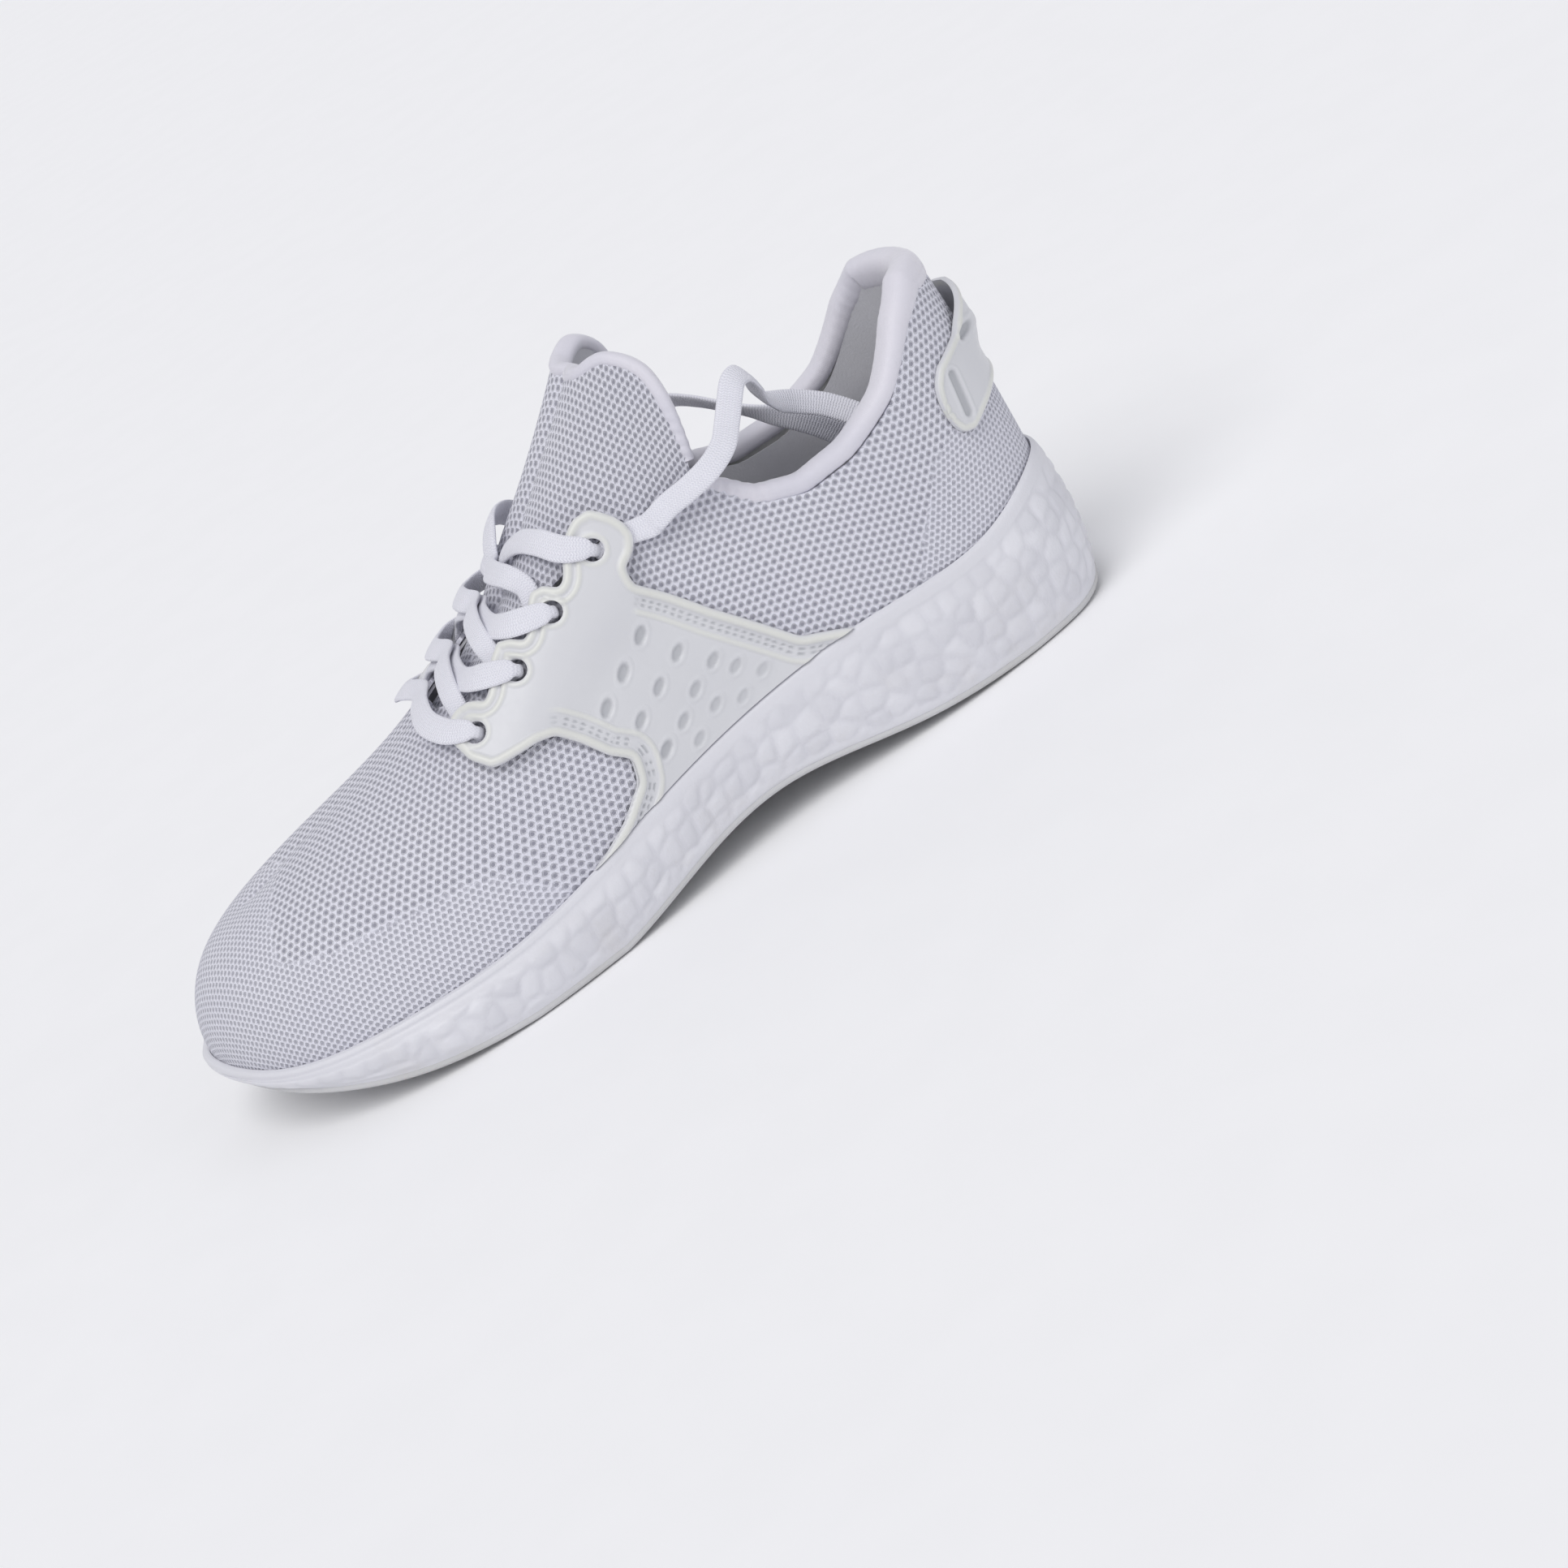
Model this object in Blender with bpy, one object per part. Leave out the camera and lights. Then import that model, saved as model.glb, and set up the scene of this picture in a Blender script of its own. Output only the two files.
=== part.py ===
"""Left running shoe: foam sole unit, sock-like knitted upper, moulded side cages, flat laces.

The upper is laid out on a shoe last. The last is a closed ring of stations (0 at the heel
back, 10 at the toe tip, 10..20 back along the medial side) and a climb angle that runs from
the feather line (0 degrees, where the upper meets the sole) up to the ridge (90 degrees).
Every layer of the upper is a patch of that surface, pushed in or out by its own offset.
All lengths below are in millimetres; the scene is in metres, +Z up, toe towards -X.
"""
import bmesh
import bpy
import numpy as np
from mathutils import Matrix, Vector

MM = 0.001

# ---- placing of the shoe in the scene ------------------------------------------------------
HEEL_TO_ORIGIN = 149.2        # distance from the pattern's heel datum to the origin
SIDE_SHIFT = 1.5              # moves the pattern sideways so that the shoe is centred on Y

# ---- last: one row per station from the heel back (0) to the toe tip (10) --------------------
#   lateral outline   medial outline  feather height   ridge line        fullness
#   (along, across)   (along, across) (lat., medial)   (along,across,up) exponent
STATIONS = (
    (8, 0,            8, 0,           39, 39,          80, 0, 178,       3.2),
    (17, -21,         17, 23,         37.5, 37.5,      80, 0, 178,       2.9),
    (43, -32,         43, 30,         30.5, 30.5,      81, 0, 174,       3.0),
    (80, -36,         80, 34.5,       32, 33,          84, 0, 165,       2.8),
    (119, -35,        117, 30,        30, 32,          99, 0, 142,       2.4),
    (153, -40,        149, 32,        26, 28,          126, 1, 116,      2.0),
    (185, -46,        179, 38,        20.5, 22.5,      157, 2, 91,       2.0),
    (215, -49,        209, 44,        17.5, 19.5,      193, 4, 73,       1.9),
    (248, -45,        243, 45,        17.5, 18.5,      225, 5, 64,       2.0),
    (278, -28,        277, 33,        19, 20,          248, 6, 57.5,     2.1),
    (292, 6,          292, 6,         23, 23,          258, 7, 54,       2.0),
)

# ---- sole unit, one value per station ---------------------------------------------------------
GROUND = (5, 1, 0, 2.8, 9, 6.6, 0, 0, 3.7, 13.0, 18.0)            # underside of the outsole
FOOTBED = (25, 24, 22, 22, 21.5, 19, 13, 10, 11.5, 17.4, 21.6)    # floor of the sole cup
BULGE_MID = (3, 4.5, 5, 4.5, 3, 3.5, 4.5, 5.5, 5.5, 4.5, 2.5)     # side wall, half way up
BULGE_LOW = (1.5, 3.8, 4.5, 4.0, 2.6, 3.3, 4.5, 5.3, 5.0, 3.6, 1.4)
BULGE_FOOT = (-1, 2, 3, 2.8, 2, 2.6, 3.4, 4.2, 3.8, 2.4, -0.4)    # side wall, at the outsole
OUTSOLE_THICK = 2.0
STROBEL_THICK = 1.5
INSOLE_THICK = 4.0
RIM_LIP = 1.0                 # climb of the sole's top rim, degrees
BUMPER_CLIMB = 17.1           # climb of the toe bumper, degrees
BUMPER_GAP = 0.6              # clearance between bumper and vamp
BUMPER_SPAN = (10.2, 13.2)    # stations covered by the toe bumper, on the medial side
GAP = 0.3                     # clearance between neighbouring pieces

# rows of facets up the upper, as fractions of the climb to the top edge
VAMP_ROWS = (0, 0.095, 0.19, 0.285, 0.38, 0.58, 0.78, 1)
QUARTER_ROWS = (0, 0.13, 0.28, 0.45, 0.62, 0.8, 1)

# ---- upper: outlines as (station, climb) -------------------------------------------------------
TOPLINE = ((0, 27.5), (1, 28), (1.5, 26), (2, 22), (2.5, 20), (2.9, 20), (3.2, 22.5), (3.5, 29))
THROAT = ((3.5, 29), (4.15, 33), (4.6, 40), (5.2, 48), (6.0, 57), (6.5, 66), (6.8, 78), (6.9, 90))
TONGUE_EDGE = ((3.5, 29), (3.4, 38), (3.42, 44), (3.54, 49), (3.76, 57), (4.1, 67), (4.3, 78),
               (4.38, 90))
CAGE_REAR = ((3.12, 2), (3.46, 5), (3.9, 16), (4.15, 23), (4.38, 29), (4.39, 32), (4.25, 32),
             (4.18, 33.5), (4.21, 36))
CAGE_FRONT = ((5.87, 2), (5.68, 2.6), (5.43, 4), (5.16, 7), (5.11, 11), (5.27, 15), (5.45, 22),
              (5.63, 28), (5.8, 31), (5.96, 33), (6.18, 36), (6.29, 38), (6.46, 45), (6.6, 56))
CAGE_EYESTAY = ((4.21, 36), (4.28, 39), (4.45, 44.5), (4.62, 47.5), (4.76, 48.5), (4.88, 47), (4.96, 44.3),
                (5.04, 44.8), (5.18, 49.5), (5.32, 52.5), (5.41, 51.5), (5.48, 47.8), (5.55, 47.8),
                (5.68, 52.5), (5.82, 56.3), (5.94, 55.5), (6.04, 50.6), (6.12, 50.4), (6.24, 54.8),
                (6.38, 58.3), (6.5, 59.5), (6.58, 59), (6.6, 56))
EYELETS = ((6.31, 48), (5.73, 46), (5.2, 44), (4.58, 40))
STRANDS_OVER = (((6.58, 57), (6.76, 67), (6.84, 78)), ((6.03, 54), (6.22, 60.5), (6.4, 70), (6.5, 80)),
                ((5.53, 51.5), (5.74, 58), (5.95, 68), (6.1, 80)),
                ((4.86, 48), (5.08, 57), (5.36, 69), (5.66, 81)))
STRANDS_UNDER = (((6.44, 53), (6.45, 59.5), (6.48, 66), (6.52, 74), (6.55, 82)),
                 ((5.94, 51), (5.95, 57), (6.01, 64), (6.08, 72), (6.14, 81)),
                 ((5.36, 50.5), (5.39, 56.5), (5.52, 64), (5.69, 73), (5.82, 82)))
CROSSINGS = (6.55, 6.17, 5.87)
EYELET_RADIUS = 3.1
HEEL_TAB_TOP = ((0, 22), (0.35, 21.5), (0.9, 18.5), (1.4, 18.5), (1.55, 17))
HEEL_TAB_FOOT = ((0, 12), (0.6, 11.5), (1.0, 11), (1.4, 10.5), (1.55, 12))
SEAM_HEEL = 1.95              # station of the seam between heel panel and quarter
SEAM_VAMP = 5.0               # station of the seam between quarter and vamp, under the cage

MESH_THICK = 1.2
CAGE_THICK = 1.2
CAGE_BASE = 0.7               # clearance under the flat part of the cage
CAGE_LIFT = 2.0               # how far the cage stands off where the laces run beneath it
STIFFENER_THICK = 1.2
LINING_THICK = 0.8
LINING_GAP = 0.9              # the soft lining lies loosely against the foam
COLLAR_PAD = 4.6              # thickest part of the collar foam
TONGUE_PAD = 2.2
TONGUE_DIVE = 4.0             # depth of the tongue root below the vamp
BINDING_STEP = 2.1            # climb between the edge of the knit and the topline
BINDING_HALF = 2.1            # half the height of the collar binding
TONGUE_BINDING_LIFT = -1.5    # the bindings end level with the outlines above
COLLAR_BINDING_LIFT = -1.6

# ---- tongue flap joint ---------------------------------------------------------------------------
TONGUE_AXIS = (130.0, 106.0)  # along, up
FOLD_BASE = (0.66, 0.71)      # where the fixed part ends: fraction up the side and up the ridge
FOLD_FLAP = (0.68, 0.83)      # where the moving flap begins
FLAP_EDGE = 0.955            # where the flap's layers end below their binding

# ---- laces -----------------------------------------------------------------------------------------
LACE_WIDTH = 7.0
LACE_THICK = 1.4
LACE_BUNCHED = 3.6            # width where a lace is gathered inside an eyelet
AGLET_LENGTH = 20.0
AGLET_RADIUS = 1.6
LACE_UNDER = 1.4              # offset of a strand between the knit and the cage
LACE_OVER = 5.0               # offset of a strand lying on the cage
LACE_ON_RIDGE = (1.4, 3.5)    # offsets of the lower and the upper strand of a crossing
# free ends, from behind the cage over the collar and down into the shoe (along, across, up)
END_LATERAL = ((117.9, -33.4, 91.4), (115.2, -34.9, 92.4), (111, -35.9, 93.8), (103.5, -37.8, 95.2),
               (96.5, -38.6, 97), (90, -36.5, 99.5), (85, -32, 103), (80.5, -28, 106.8),
               (76.5, -24.5, 109.6), (72.5, -20.5, 108.8), (70.5, -16.5, 104), (69.5, -12, 98.5),
               (66, -8, 94), (60, -5, 89.5), (53, -6, 84), (46.5, -10.5, 76), (42.5, -15.5, 66),
               (42, -17.5, 56), (45, -16.5, 48.5), (50.5, -13.5, 43), (57.5, -10, 40), (65, -6.5, 39))
END_MEDIAL = ((116.5, 28.9, 92), (113.5, 31.1, 93.2), (109.5, 32.6, 94.6), (102.5, 35.2, 96),
              (96, 36.2, 98), (90, 34, 100.5), (84.5, 29, 101), (79, 23, 98), (73, 17, 93),
              (66.5, 11.5, 87.5), (59.5, 7.5, 81.5), (53, 6, 74), (48, 7.5, 65.5), (46, 11, 56.5),
              (47.5, 14, 48), (53, 15.5, 42.5), (60.5, 15, 39.5), (69, 13, 38.5))

# every layer is cut at these stations, so that the facets of nested layers lie parallel
CUTS = (0, 0.25, 0.5, 0.75, 1, 1.25, 1.55, 1.95, 2.4, 2.9, 3.3, 3.7, 4.2, 4.6, 5, 5.4, 5.8, 6.2, 6.5,
        6.8, 6.9, 7.3, 7.7, 8.1, 8.5, 8.8, 9.1, 9.35, 9.6, 9.8, 10)


# ==== last surface =====================================================================================

def ring_spline(values, j):
    """Smooth closed curve through values given at whole stations (cubic, periodic)."""
    v = np.asarray(values, float)
    n = len(v)
    i = np.arange(n)
    a = np.zeros((n, n))
    a[i, i], a[i, (i + 1) % n], a[i, (i - 1) % n] = 4, 1, 1
    bend = np.linalg.solve(a, 6 * (np.roll(v, -1, 0) - 2 * v + np.roll(v, 1, 0)))
    j = np.asarray(j, float) % n
    i0 = np.floor(j).astype(int) % n
    i1 = (i0 + 1) % n
    t = j - np.floor(j)
    if v.ndim > 1:
        t = t[..., None]
    s = 1 - t
    return s * v[i0] + t * v[i1] + ((s ** 3 - s) * bend[i0] + (t ** 3 - t) * bend[i1]) / 6


def both_sides(values):
    """Values for stations 0..10 mirrored onto the whole ring 0..19."""
    return np.concatenate([values, values[-2:0:-1]])


ROWS = np.array(STATIONS, float)
RING = np.vstack([ROWS[:, [0, 1, 4, 6, 7, 8, 9]], ROWS[-2:0:-1][:, [2, 3, 5, 6, 7, 8, 9]]])


def last_surface(j, climb):
    """Point of the last at ring position j and climb angle, in pattern millimetres."""
    out_x, out_y, feather, ridge_x, ridge_y, ridge_z, power = np.moveaxis(ring_spline(RING, j), -1, 0)
    a = np.radians(climb)
    c, s = np.cos(a), np.sin(a)
    r = (np.abs(c) ** power + np.abs(s) ** power) ** (1 / power)
    c, s = c / r, s / r
    return np.stack([ridge_x + (out_x - ridge_x) * c, ridge_y + (out_y - ridge_y) * c,
                     feather + (ridge_z - feather) * s], -1)


def to_scene(p):
    """Pattern millimetres to scene metres."""
    p = np.asarray(p, float)
    return np.stack([HEEL_TO_ORIGIN - p[..., 0], p[..., 1] + SIDE_SHIFT, p[..., 2]], -1) * MM


def last_normal(j, climb):
    """Outward unit normal of the last."""
    along = to_scene(last_surface(j + 0.01, climb)) - to_scene(last_surface(j - 0.01, climb))
    upward = to_scene(last_surface(j, climb + 0.5)) - to_scene(last_surface(j, climb - 0.5))
    normal = np.cross(upward, along)
    return normal / np.linalg.norm(normal, axis=-1, keepdims=True)


def skin(j, climb, out=0.0, drop=0.0):
    """Point of the last, pushed outwards by out and lowered by drop, in scene metres."""
    j, climb, out, drop = np.broadcast_arrays(*(np.asarray(v, float) for v in (j, climb, out, drop)))
    near_ridge = np.minimum(climb, 88.5)
    normal = last_normal(j, near_ridge)
    both = normal + last_normal(20 - j, near_ridge)
    normal = np.where((climb > 89.9)[..., None], both, normal)
    normal /= np.linalg.norm(normal, axis=-1, keepdims=True)
    p = to_scene(last_surface(j, climb)) + normal * out[..., None] * MM
    p[..., 2] -= drop * MM
    return p


def smooth_step(x, low, high):
    t = np.clip((np.asarray(x, float) - low) / (high - low), 0, 1)
    return t * t * (3 - 2 * t)


def outline(points, t):
    """Point at fraction t along a (station, climb) outline, even in millimetres along it."""
    p = np.array(points, float)
    step = np.hypot(np.diff(p[:, 0]) * 30.0, np.diff(p[:, 1]) * 1.0)
    s = np.concatenate([[0], np.cumsum(step)]) / step.sum()
    return np.stack([np.interp(t, s, p[:, 0]), np.interp(t, s, p[:, 1])], -1)


def coons(bottom, top, left, right, nu, nv):
    """Grid of (station, climb) filled in between four outlines."""
    u, v = np.linspace(0, 1, nu), np.linspace(0, 1, nv)
    b, t, l, r = outline(bottom, u), outline(top, u), outline(left, v), outline(right, v)
    uu, vv = u[:, None, None], v[None, :, None]
    return ((1 - vv) * b[:, None] + vv * t[:, None] + (1 - uu) * l[None] + uu * r[None]
            - (1 - uu) * (1 - vv) * b[0] - uu * (1 - vv) * b[-1]
            - (1 - uu) * vv * t[0] - uu * vv * t[-1])


def collar_top(k):
    """Top edge of the knit and lining, just below the collar binding."""
    return upper_top(k) - BINDING_STEP * (1 - smooth_step(k, 3.3, 3.7))


def cuts(low, high):
    """Stations from low to high, through every shared cut in between."""
    return np.array([low] + [c for c in CUTS if low + 0.03 < c < high - 0.03] + [high], float)


def round_heel(high):
    """Stations from the medial side round the heel back to the lateral side."""
    k = cuts(0.0, high)
    return np.concatenate([-k[:0:-1], k])


def upper_top(k):
    """Climb of the upper's top edge: collar topline, then the throat."""
    line = np.array(TOPLINE + THROAT[1:], float)
    return np.interp(k, line[:, 0], line[:, 1])


# ==== building solids =====================================================================================

def collection(name, parent):
    col = bpy.data.collections.new(name)
    parent.children.link(col)
    return col


def material(name, color, roughness, metallic=0.0):
    mat = bpy.data.materials.new(name)
    mat.use_nodes = True
    shader = mat.node_tree.nodes["Principled BSDF"]
    shader.inputs["Base Color"].default_value = (*color, 1)
    shader.inputs["Roughness"].default_value = roughness
    shader.inputs["Metallic"].default_value = metallic
    mat.diffuse_color = (*color, 1)
    return mat


def make_object(name, verts, faces, mat, col):
    """Welded, outward-facing mesh object."""
    mesh = bpy.data.meshes.new(name)
    mesh.from_pydata([tuple(v) for v in verts], [], faces)
    bm = bmesh.new()
    bm.from_mesh(mesh)
    bmesh.ops.remove_doubles(bm, verts=bm.verts, dist=1e-6)
    bmesh.ops.dissolve_degenerate(bm, edges=bm.edges, dist=1e-7)
    bmesh.ops.recalc_face_normals(bm, faces=bm.faces)
    bm.to_mesh(mesh)
    bm.free()
    obj = bpy.data.objects.new(name, mesh)
    obj.data.materials.append(mat)
    col.objects.link(obj)
    return obj


def grid_faces(nu, nv, start=0, wrap=False):
    """Quads of a grid stored row by row; wrap joins the last row to the first."""
    faces = []
    for a in range(nu if wrap else nu - 1):
        b = (a + 1) % nu
        for c in range(nv - 1):
            faces.append((start + a * nv + c, start + b * nv + c,
                          start + b * nv + c + 1, start + a * nv + c + 1))
    return faces


def weld(verts, faces):
    """Merge equal points of verts and cut the faces into triangles, always on the same diagonal."""
    key = np.round(verts * 1e7).astype(np.int64)
    _, first, back = np.unique(key, axis=0, return_index=True, return_inverse=True)
    back = back.ravel()
    clean = []
    for face in faces:
        ids = [int(back[i]) for i in face]
        ids = [v for i, v in enumerate(ids) if v != ids[i - 1]]
        clean += [(ids[0], ids[i], ids[i + 1]) for i in range(1, len(ids) - 1)]
    return first, clean


def shell(name, grids, mat, col):
    """Closed sheet from (outer, inner) grid pairs: two skins and a rim round every free edge."""
    outer, inner, faces, start = [], [], [], 0
    for out_grid, in_grid in grids:
        nu, nv = out_grid.shape[:2]
        faces += grid_faces(nu, nv, start)
        outer.append(out_grid.reshape(-1, 3))
        inner.append(in_grid.reshape(-1, 3))
        start += nu * nv
    outer, inner = np.vstack(outer), np.vstack(inner)
    keep, faces = weld(outer, faces)
    outer, inner = outer[keep], inner[keep]
    n = len(outer)
    count = {}
    for face in faces:
        for i, v in enumerate(face):
            edge = tuple(sorted((face[i - 1], v)))
            count[edge] = count.get(edge, 0) + 1
    rim = [(a, b, b + n, a + n) for (a, b), used in count.items() if used == 1]
    back = [tuple(v + n for v in reversed(face)) for face in faces]
    return make_object(name, np.vstack([outer, inner]), faces + back + rim, mat, col)


def patch(j, climb, out, thick, drop=0.0):
    """Outer and inner grids of a sheet whose outer face lies at the offset out."""
    return skin(j, climb, out, drop), skin(j, climb, out - thick, drop)


def mirrored(grid_k, side):
    """Ring position for stations on the lateral (-1) or medial (+1) side."""
    return grid_k if side < 0 else 20.0 - grid_k


def panel(j, top, rows):
    """Grid (j, climb, drop) of an upper panel: a hem down into the sole cup, then the climb."""
    climb = np.concatenate([[0.0], rows])[None, :] * top[:, None]
    drop = np.zeros_like(climb)
    drop[:, 0] = ring_spline(RING[:, 2], j) - hem_height(j)
    return np.repeat(j[:, None], climb.shape[1], 1), climb, drop


# ==== sole unit ========================================================================================

def ring_positions():
    half = cuts(0.0, 10.0)
    return half, np.concatenate([half, 20 - half[-2:0:-1]])


def sole_ring(j, offset, height):
    """Closed curve round the sole: feather outline pushed out by offset, at a given height."""
    p = skin(j, np.zeros_like(j), offset)
    p[:, 2] = np.asarray(height) * MM
    return p


def cross_grid(half, ring, divisions=4):
    """Surface across the sole between the lateral and medial halves of a ring."""
    n = len(half)
    lateral = ring[:n]
    medial = np.concatenate([ring[:1], ring[:n - 2:-1]])
    medial[-1] = ring[n - 1]
    w = np.linspace(0, 1, divisions + 1)[None, :, None]
    return lateral[:, None] * (1 - w) + medial[:, None] * w


def lofted_block(name, rings, half, mat, col):
    """Solid between stacked rings, closed across the first and the last of them."""
    stack = np.stack(rings, 1)
    nu, nv = stack.shape[:2]
    verts, faces = [stack.reshape(-1, 3)], grid_faces(nu, nv, 0, wrap=True)
    start = nu * nv
    for ring in (rings[0], rings[-1]):
        cap = cross_grid(half, ring)
        faces += grid_faces(cap.shape[0], cap.shape[1], start)
        verts.append(cap.reshape(-1, 3))
        start += cap.shape[0] * cap.shape[1]
    verts = np.vstack(verts)
    keep, faces = weld(verts, faces)
    return make_object(name, verts[keep], faces, mat, col)


def bumper_climb(j):
    """Height of the sole's top rim: a low lip, rising to the toe bumper."""
    low, high = BUMPER_SPAN
    rise = smooth_step(j, low, low + 0.9) * (1 - smooth_step(j, high - 0.9, high))
    return RIM_LIP + (BUMPER_CLIMB - RIM_LIP) * rise


def build_sole(mats, col):
    half, j = ring_positions()
    ground = np.maximum(ring_spline(both_sides(GROUND), j), 0)
    floor = ring_spline(both_sides(FOOTBED), j)
    feather = ring_spline(RING[:, 2], j)
    mid, low, foot = (ring_spline(both_sides(v), j) for v in (BULGE_MID, BULGE_LOW, BULGE_FOOT))
    climb = bumper_climb(j)
    base = ground + OUTSOLE_THICK + GAP

    rings = [sole_ring(j, -0.1, floor), sole_ring(j, GAP, floor), sole_ring(j, GAP, feather),
             skin(j, climb / 2, BUMPER_GAP), skin(j, climb, BUMPER_GAP),
             skin(j, climb, BUMPER_GAP + 1.2), skin(j, climb / 2, BUMPER_GAP + 1.6),
             sole_ring(j, np.minimum(2.6, mid), feather - 0.6),
             sole_ring(j, mid, base + (feather - base) * 0.55),
             sole_ring(j, low, base + (feather - base) * 0.2),
             sole_ring(j, foot, base)]
    lofted_block("midsole", rings, half, mats["foam"], col)

    rings = [sole_ring(j, foot, ground + OUTSOLE_THICK), sole_ring(j, foot + 0.2, ground + 1.0),
             sole_ring(j, foot - 1.0, ground)]
    lofted_block("outsole", rings, half, mats["rubber"], col)

    inset = -(MESH_THICK + GAP + STIFFENER_THICK + LINING_GAP + LINING_THICK + 2 * GAP)
    low_face = floor + GAP
    rings = [sole_ring(j, inset, low_face + STROBEL_THICK), sole_ring(j, inset, low_face)]
    lofted_block("strobel_board", rings, half, mats["board"], col)
    low_face = low_face + STROBEL_THICK + GAP
    rings = [sole_ring(j, inset - 0.4, low_face + INSOLE_THICK), sole_ring(j, inset, low_face)]
    lofted_block("insole", rings, half, mats["insole"], col)


# ==== upper =============================================================================================

def hem_height(j):
    """Height of the upper's lower edge inside the sole cup."""
    return ring_spline(both_sides(FOOTBED), j) + GAP


def upper_panel(name, stations, sides, out, thick, rows, mat, col, top=None, inset=0.0):
    """Panel of one layer between two stations, on one side or on both joined at the ridge."""
    grids = []
    for side in sides:
        limit = upper_top(stations) if top is None else top(stations)
        j, climb, drop = panel(mirrored(stations, side), limit - inset, rows)
        layer_out = out(stations[:, None], climb) if callable(out) else out
        grids.append(patch(j, climb, layer_out, thick, drop))
    return shell(name, grids, mat, col)


def pad_thickness(k, climb):
    """Collar foam: thin low down and at the front, thick round the ankle and the heel."""
    rise = smooth_step(climb, 8, 18)
    return STIFFENER_THICK + (COLLAR_PAD - STIFFENER_THICK) * rise * (1 - smooth_step(k, 2.6, 3.4))


def lining_out(k, climb):
    """Offset of the lining: behind the foam and the stiffeners, else straight behind the knit."""
    filled = 1 - smooth_step(k, 3.5, 4.3) + smooth_step(k, 7.0, 7.7)
    return -(MESH_THICK + GAP + filled * (pad_thickness(k, climb) + LINING_GAP))


def build_upper(mats, col):
    seam = 0.012
    toe = cuts(SEAM_VAMP + seam, 10.0)
    upper_panel("vamp", toe, (-1, 1), 0.0, MESH_THICK, VAMP_ROWS, mats["knit"], col)
    side = cuts(SEAM_HEEL + seam, SEAM_VAMP - seam)
    upper_panel("quarter_lateral", side, (-1,), 0.0, MESH_THICK, QUARTER_ROWS,
                mats["knit"], col, collar_top)
    upper_panel("quarter_medial", side, (1,), 0.0, MESH_THICK, QUARTER_ROWS,
                mats["knit"], col, collar_top)

    heel = round_heel(SEAM_HEEL - seam)
    j, climb, drop = panel(heel, collar_top(np.abs(heel)), QUARTER_ROWS)
    shell("heel_panel", [patch(j, climb, 0.0, MESH_THICK, drop)], mats["knit_fine"], col)

    # stiffeners between the knit and the lining
    counter = round_heel(2.9)
    j, climb, drop = panel(counter, collar_top(np.abs(counter)), QUARTER_ROWS[:3])
    layer = -(MESH_THICK + GAP)
    shell("heel_counter", [patch(j, climb, layer, STIFFENER_THICK, drop)], mats["stiffener"], col)

    toe_half = cuts(8.1, 10.0)
    puff = np.concatenate([toe_half, 20 - toe_half[-2::-1]])
    j, climb, drop = panel(puff, np.full(len(puff), 90.0), VAMP_ROWS[:5])
    shell("toe_puff", [patch(j, climb, layer, STIFFENER_THICK, drop)], mats["stiffener"], col)

    # collar foam above the counter
    pad = round_heel(3.3)
    rows = np.array((QUARTER_ROWS[2] + 0.02,) + QUARTER_ROWS[3:])
    climb = collar_top(np.abs(pad))[:, None] * rows[None, :]
    j = np.repeat(pad[:, None], len(rows), 1)
    thick = pad_thickness(np.abs(j), climb)
    shell("collar_foam", [patch(j, climb, layer, thick)], mats["pad"], col)

    # lining: vamp lining in front, one wrap-round piece behind
    upper_panel("vamp_lining", toe, (-1, 1), lining_out, LINING_THICK, VAMP_ROWS, mats["lining"], col,
                inset=0.8)
    back = cuts(0.0, SEAM_VAMP - seam)
    upper_panel("quarter_lining", back, (-1, 1), lining_out, LINING_THICK, QUARTER_ROWS, mats["lining"], col,
                collar_top, inset=0.4)


def edge_frames(j, climb, middle):
    """Centre line, outward normal and upward direction for a bead along an edge of the upper."""
    face = skin(j, climb, middle)
    normal = skin(j, climb, middle + 1) - face
    normal /= np.linalg.norm(normal, axis=1, keepdims=True)
    tangent = np.gradient(face, axis=0)
    up = np.cross(normal, tangent)
    up /= np.linalg.norm(up, axis=1, keepdims=True)
    return face, normal, up * np.sign(up[len(up) // 2, 2])


def bead(name, j, climb, depth, half_up, lift, mat, col, sides=8):
    """Rolled edge binding: an oval section as deep as the layers it covers."""
    centre, normal, up = edge_frames(j, climb, -depth / 2)
    a = np.linspace(0, 2 * np.pi, sides, endpoint=False)
    half_in = (depth / 2 + 0.6)[:, None, None] * MM
    ring = (centre[:, None] + up[:, None] * lift * MM
            + normal[:, None] * np.cos(a)[None, :, None] * half_in
            + up[:, None] * np.sin(a)[None, :, None] * half_up * MM)
    tube(name, ring, mat, col)


def tube(name, ring, mat, col):
    """Solid through a row of closed sections, with flat ends."""
    n, sides = ring.shape[:2]
    faces = [(i * sides + c, (i + 1) * sides + c, (i + 1) * sides + (c + 1) % sides,
              i * sides + (c + 1) % sides) for i in range(n - 1) for c in range(sides)]
    faces += [tuple(range(sides)), tuple((n - 1) * sides + c for c in reversed(range(sides)))]
    return make_object(name, ring.reshape(-1, 3), faces, mat, col)


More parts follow.
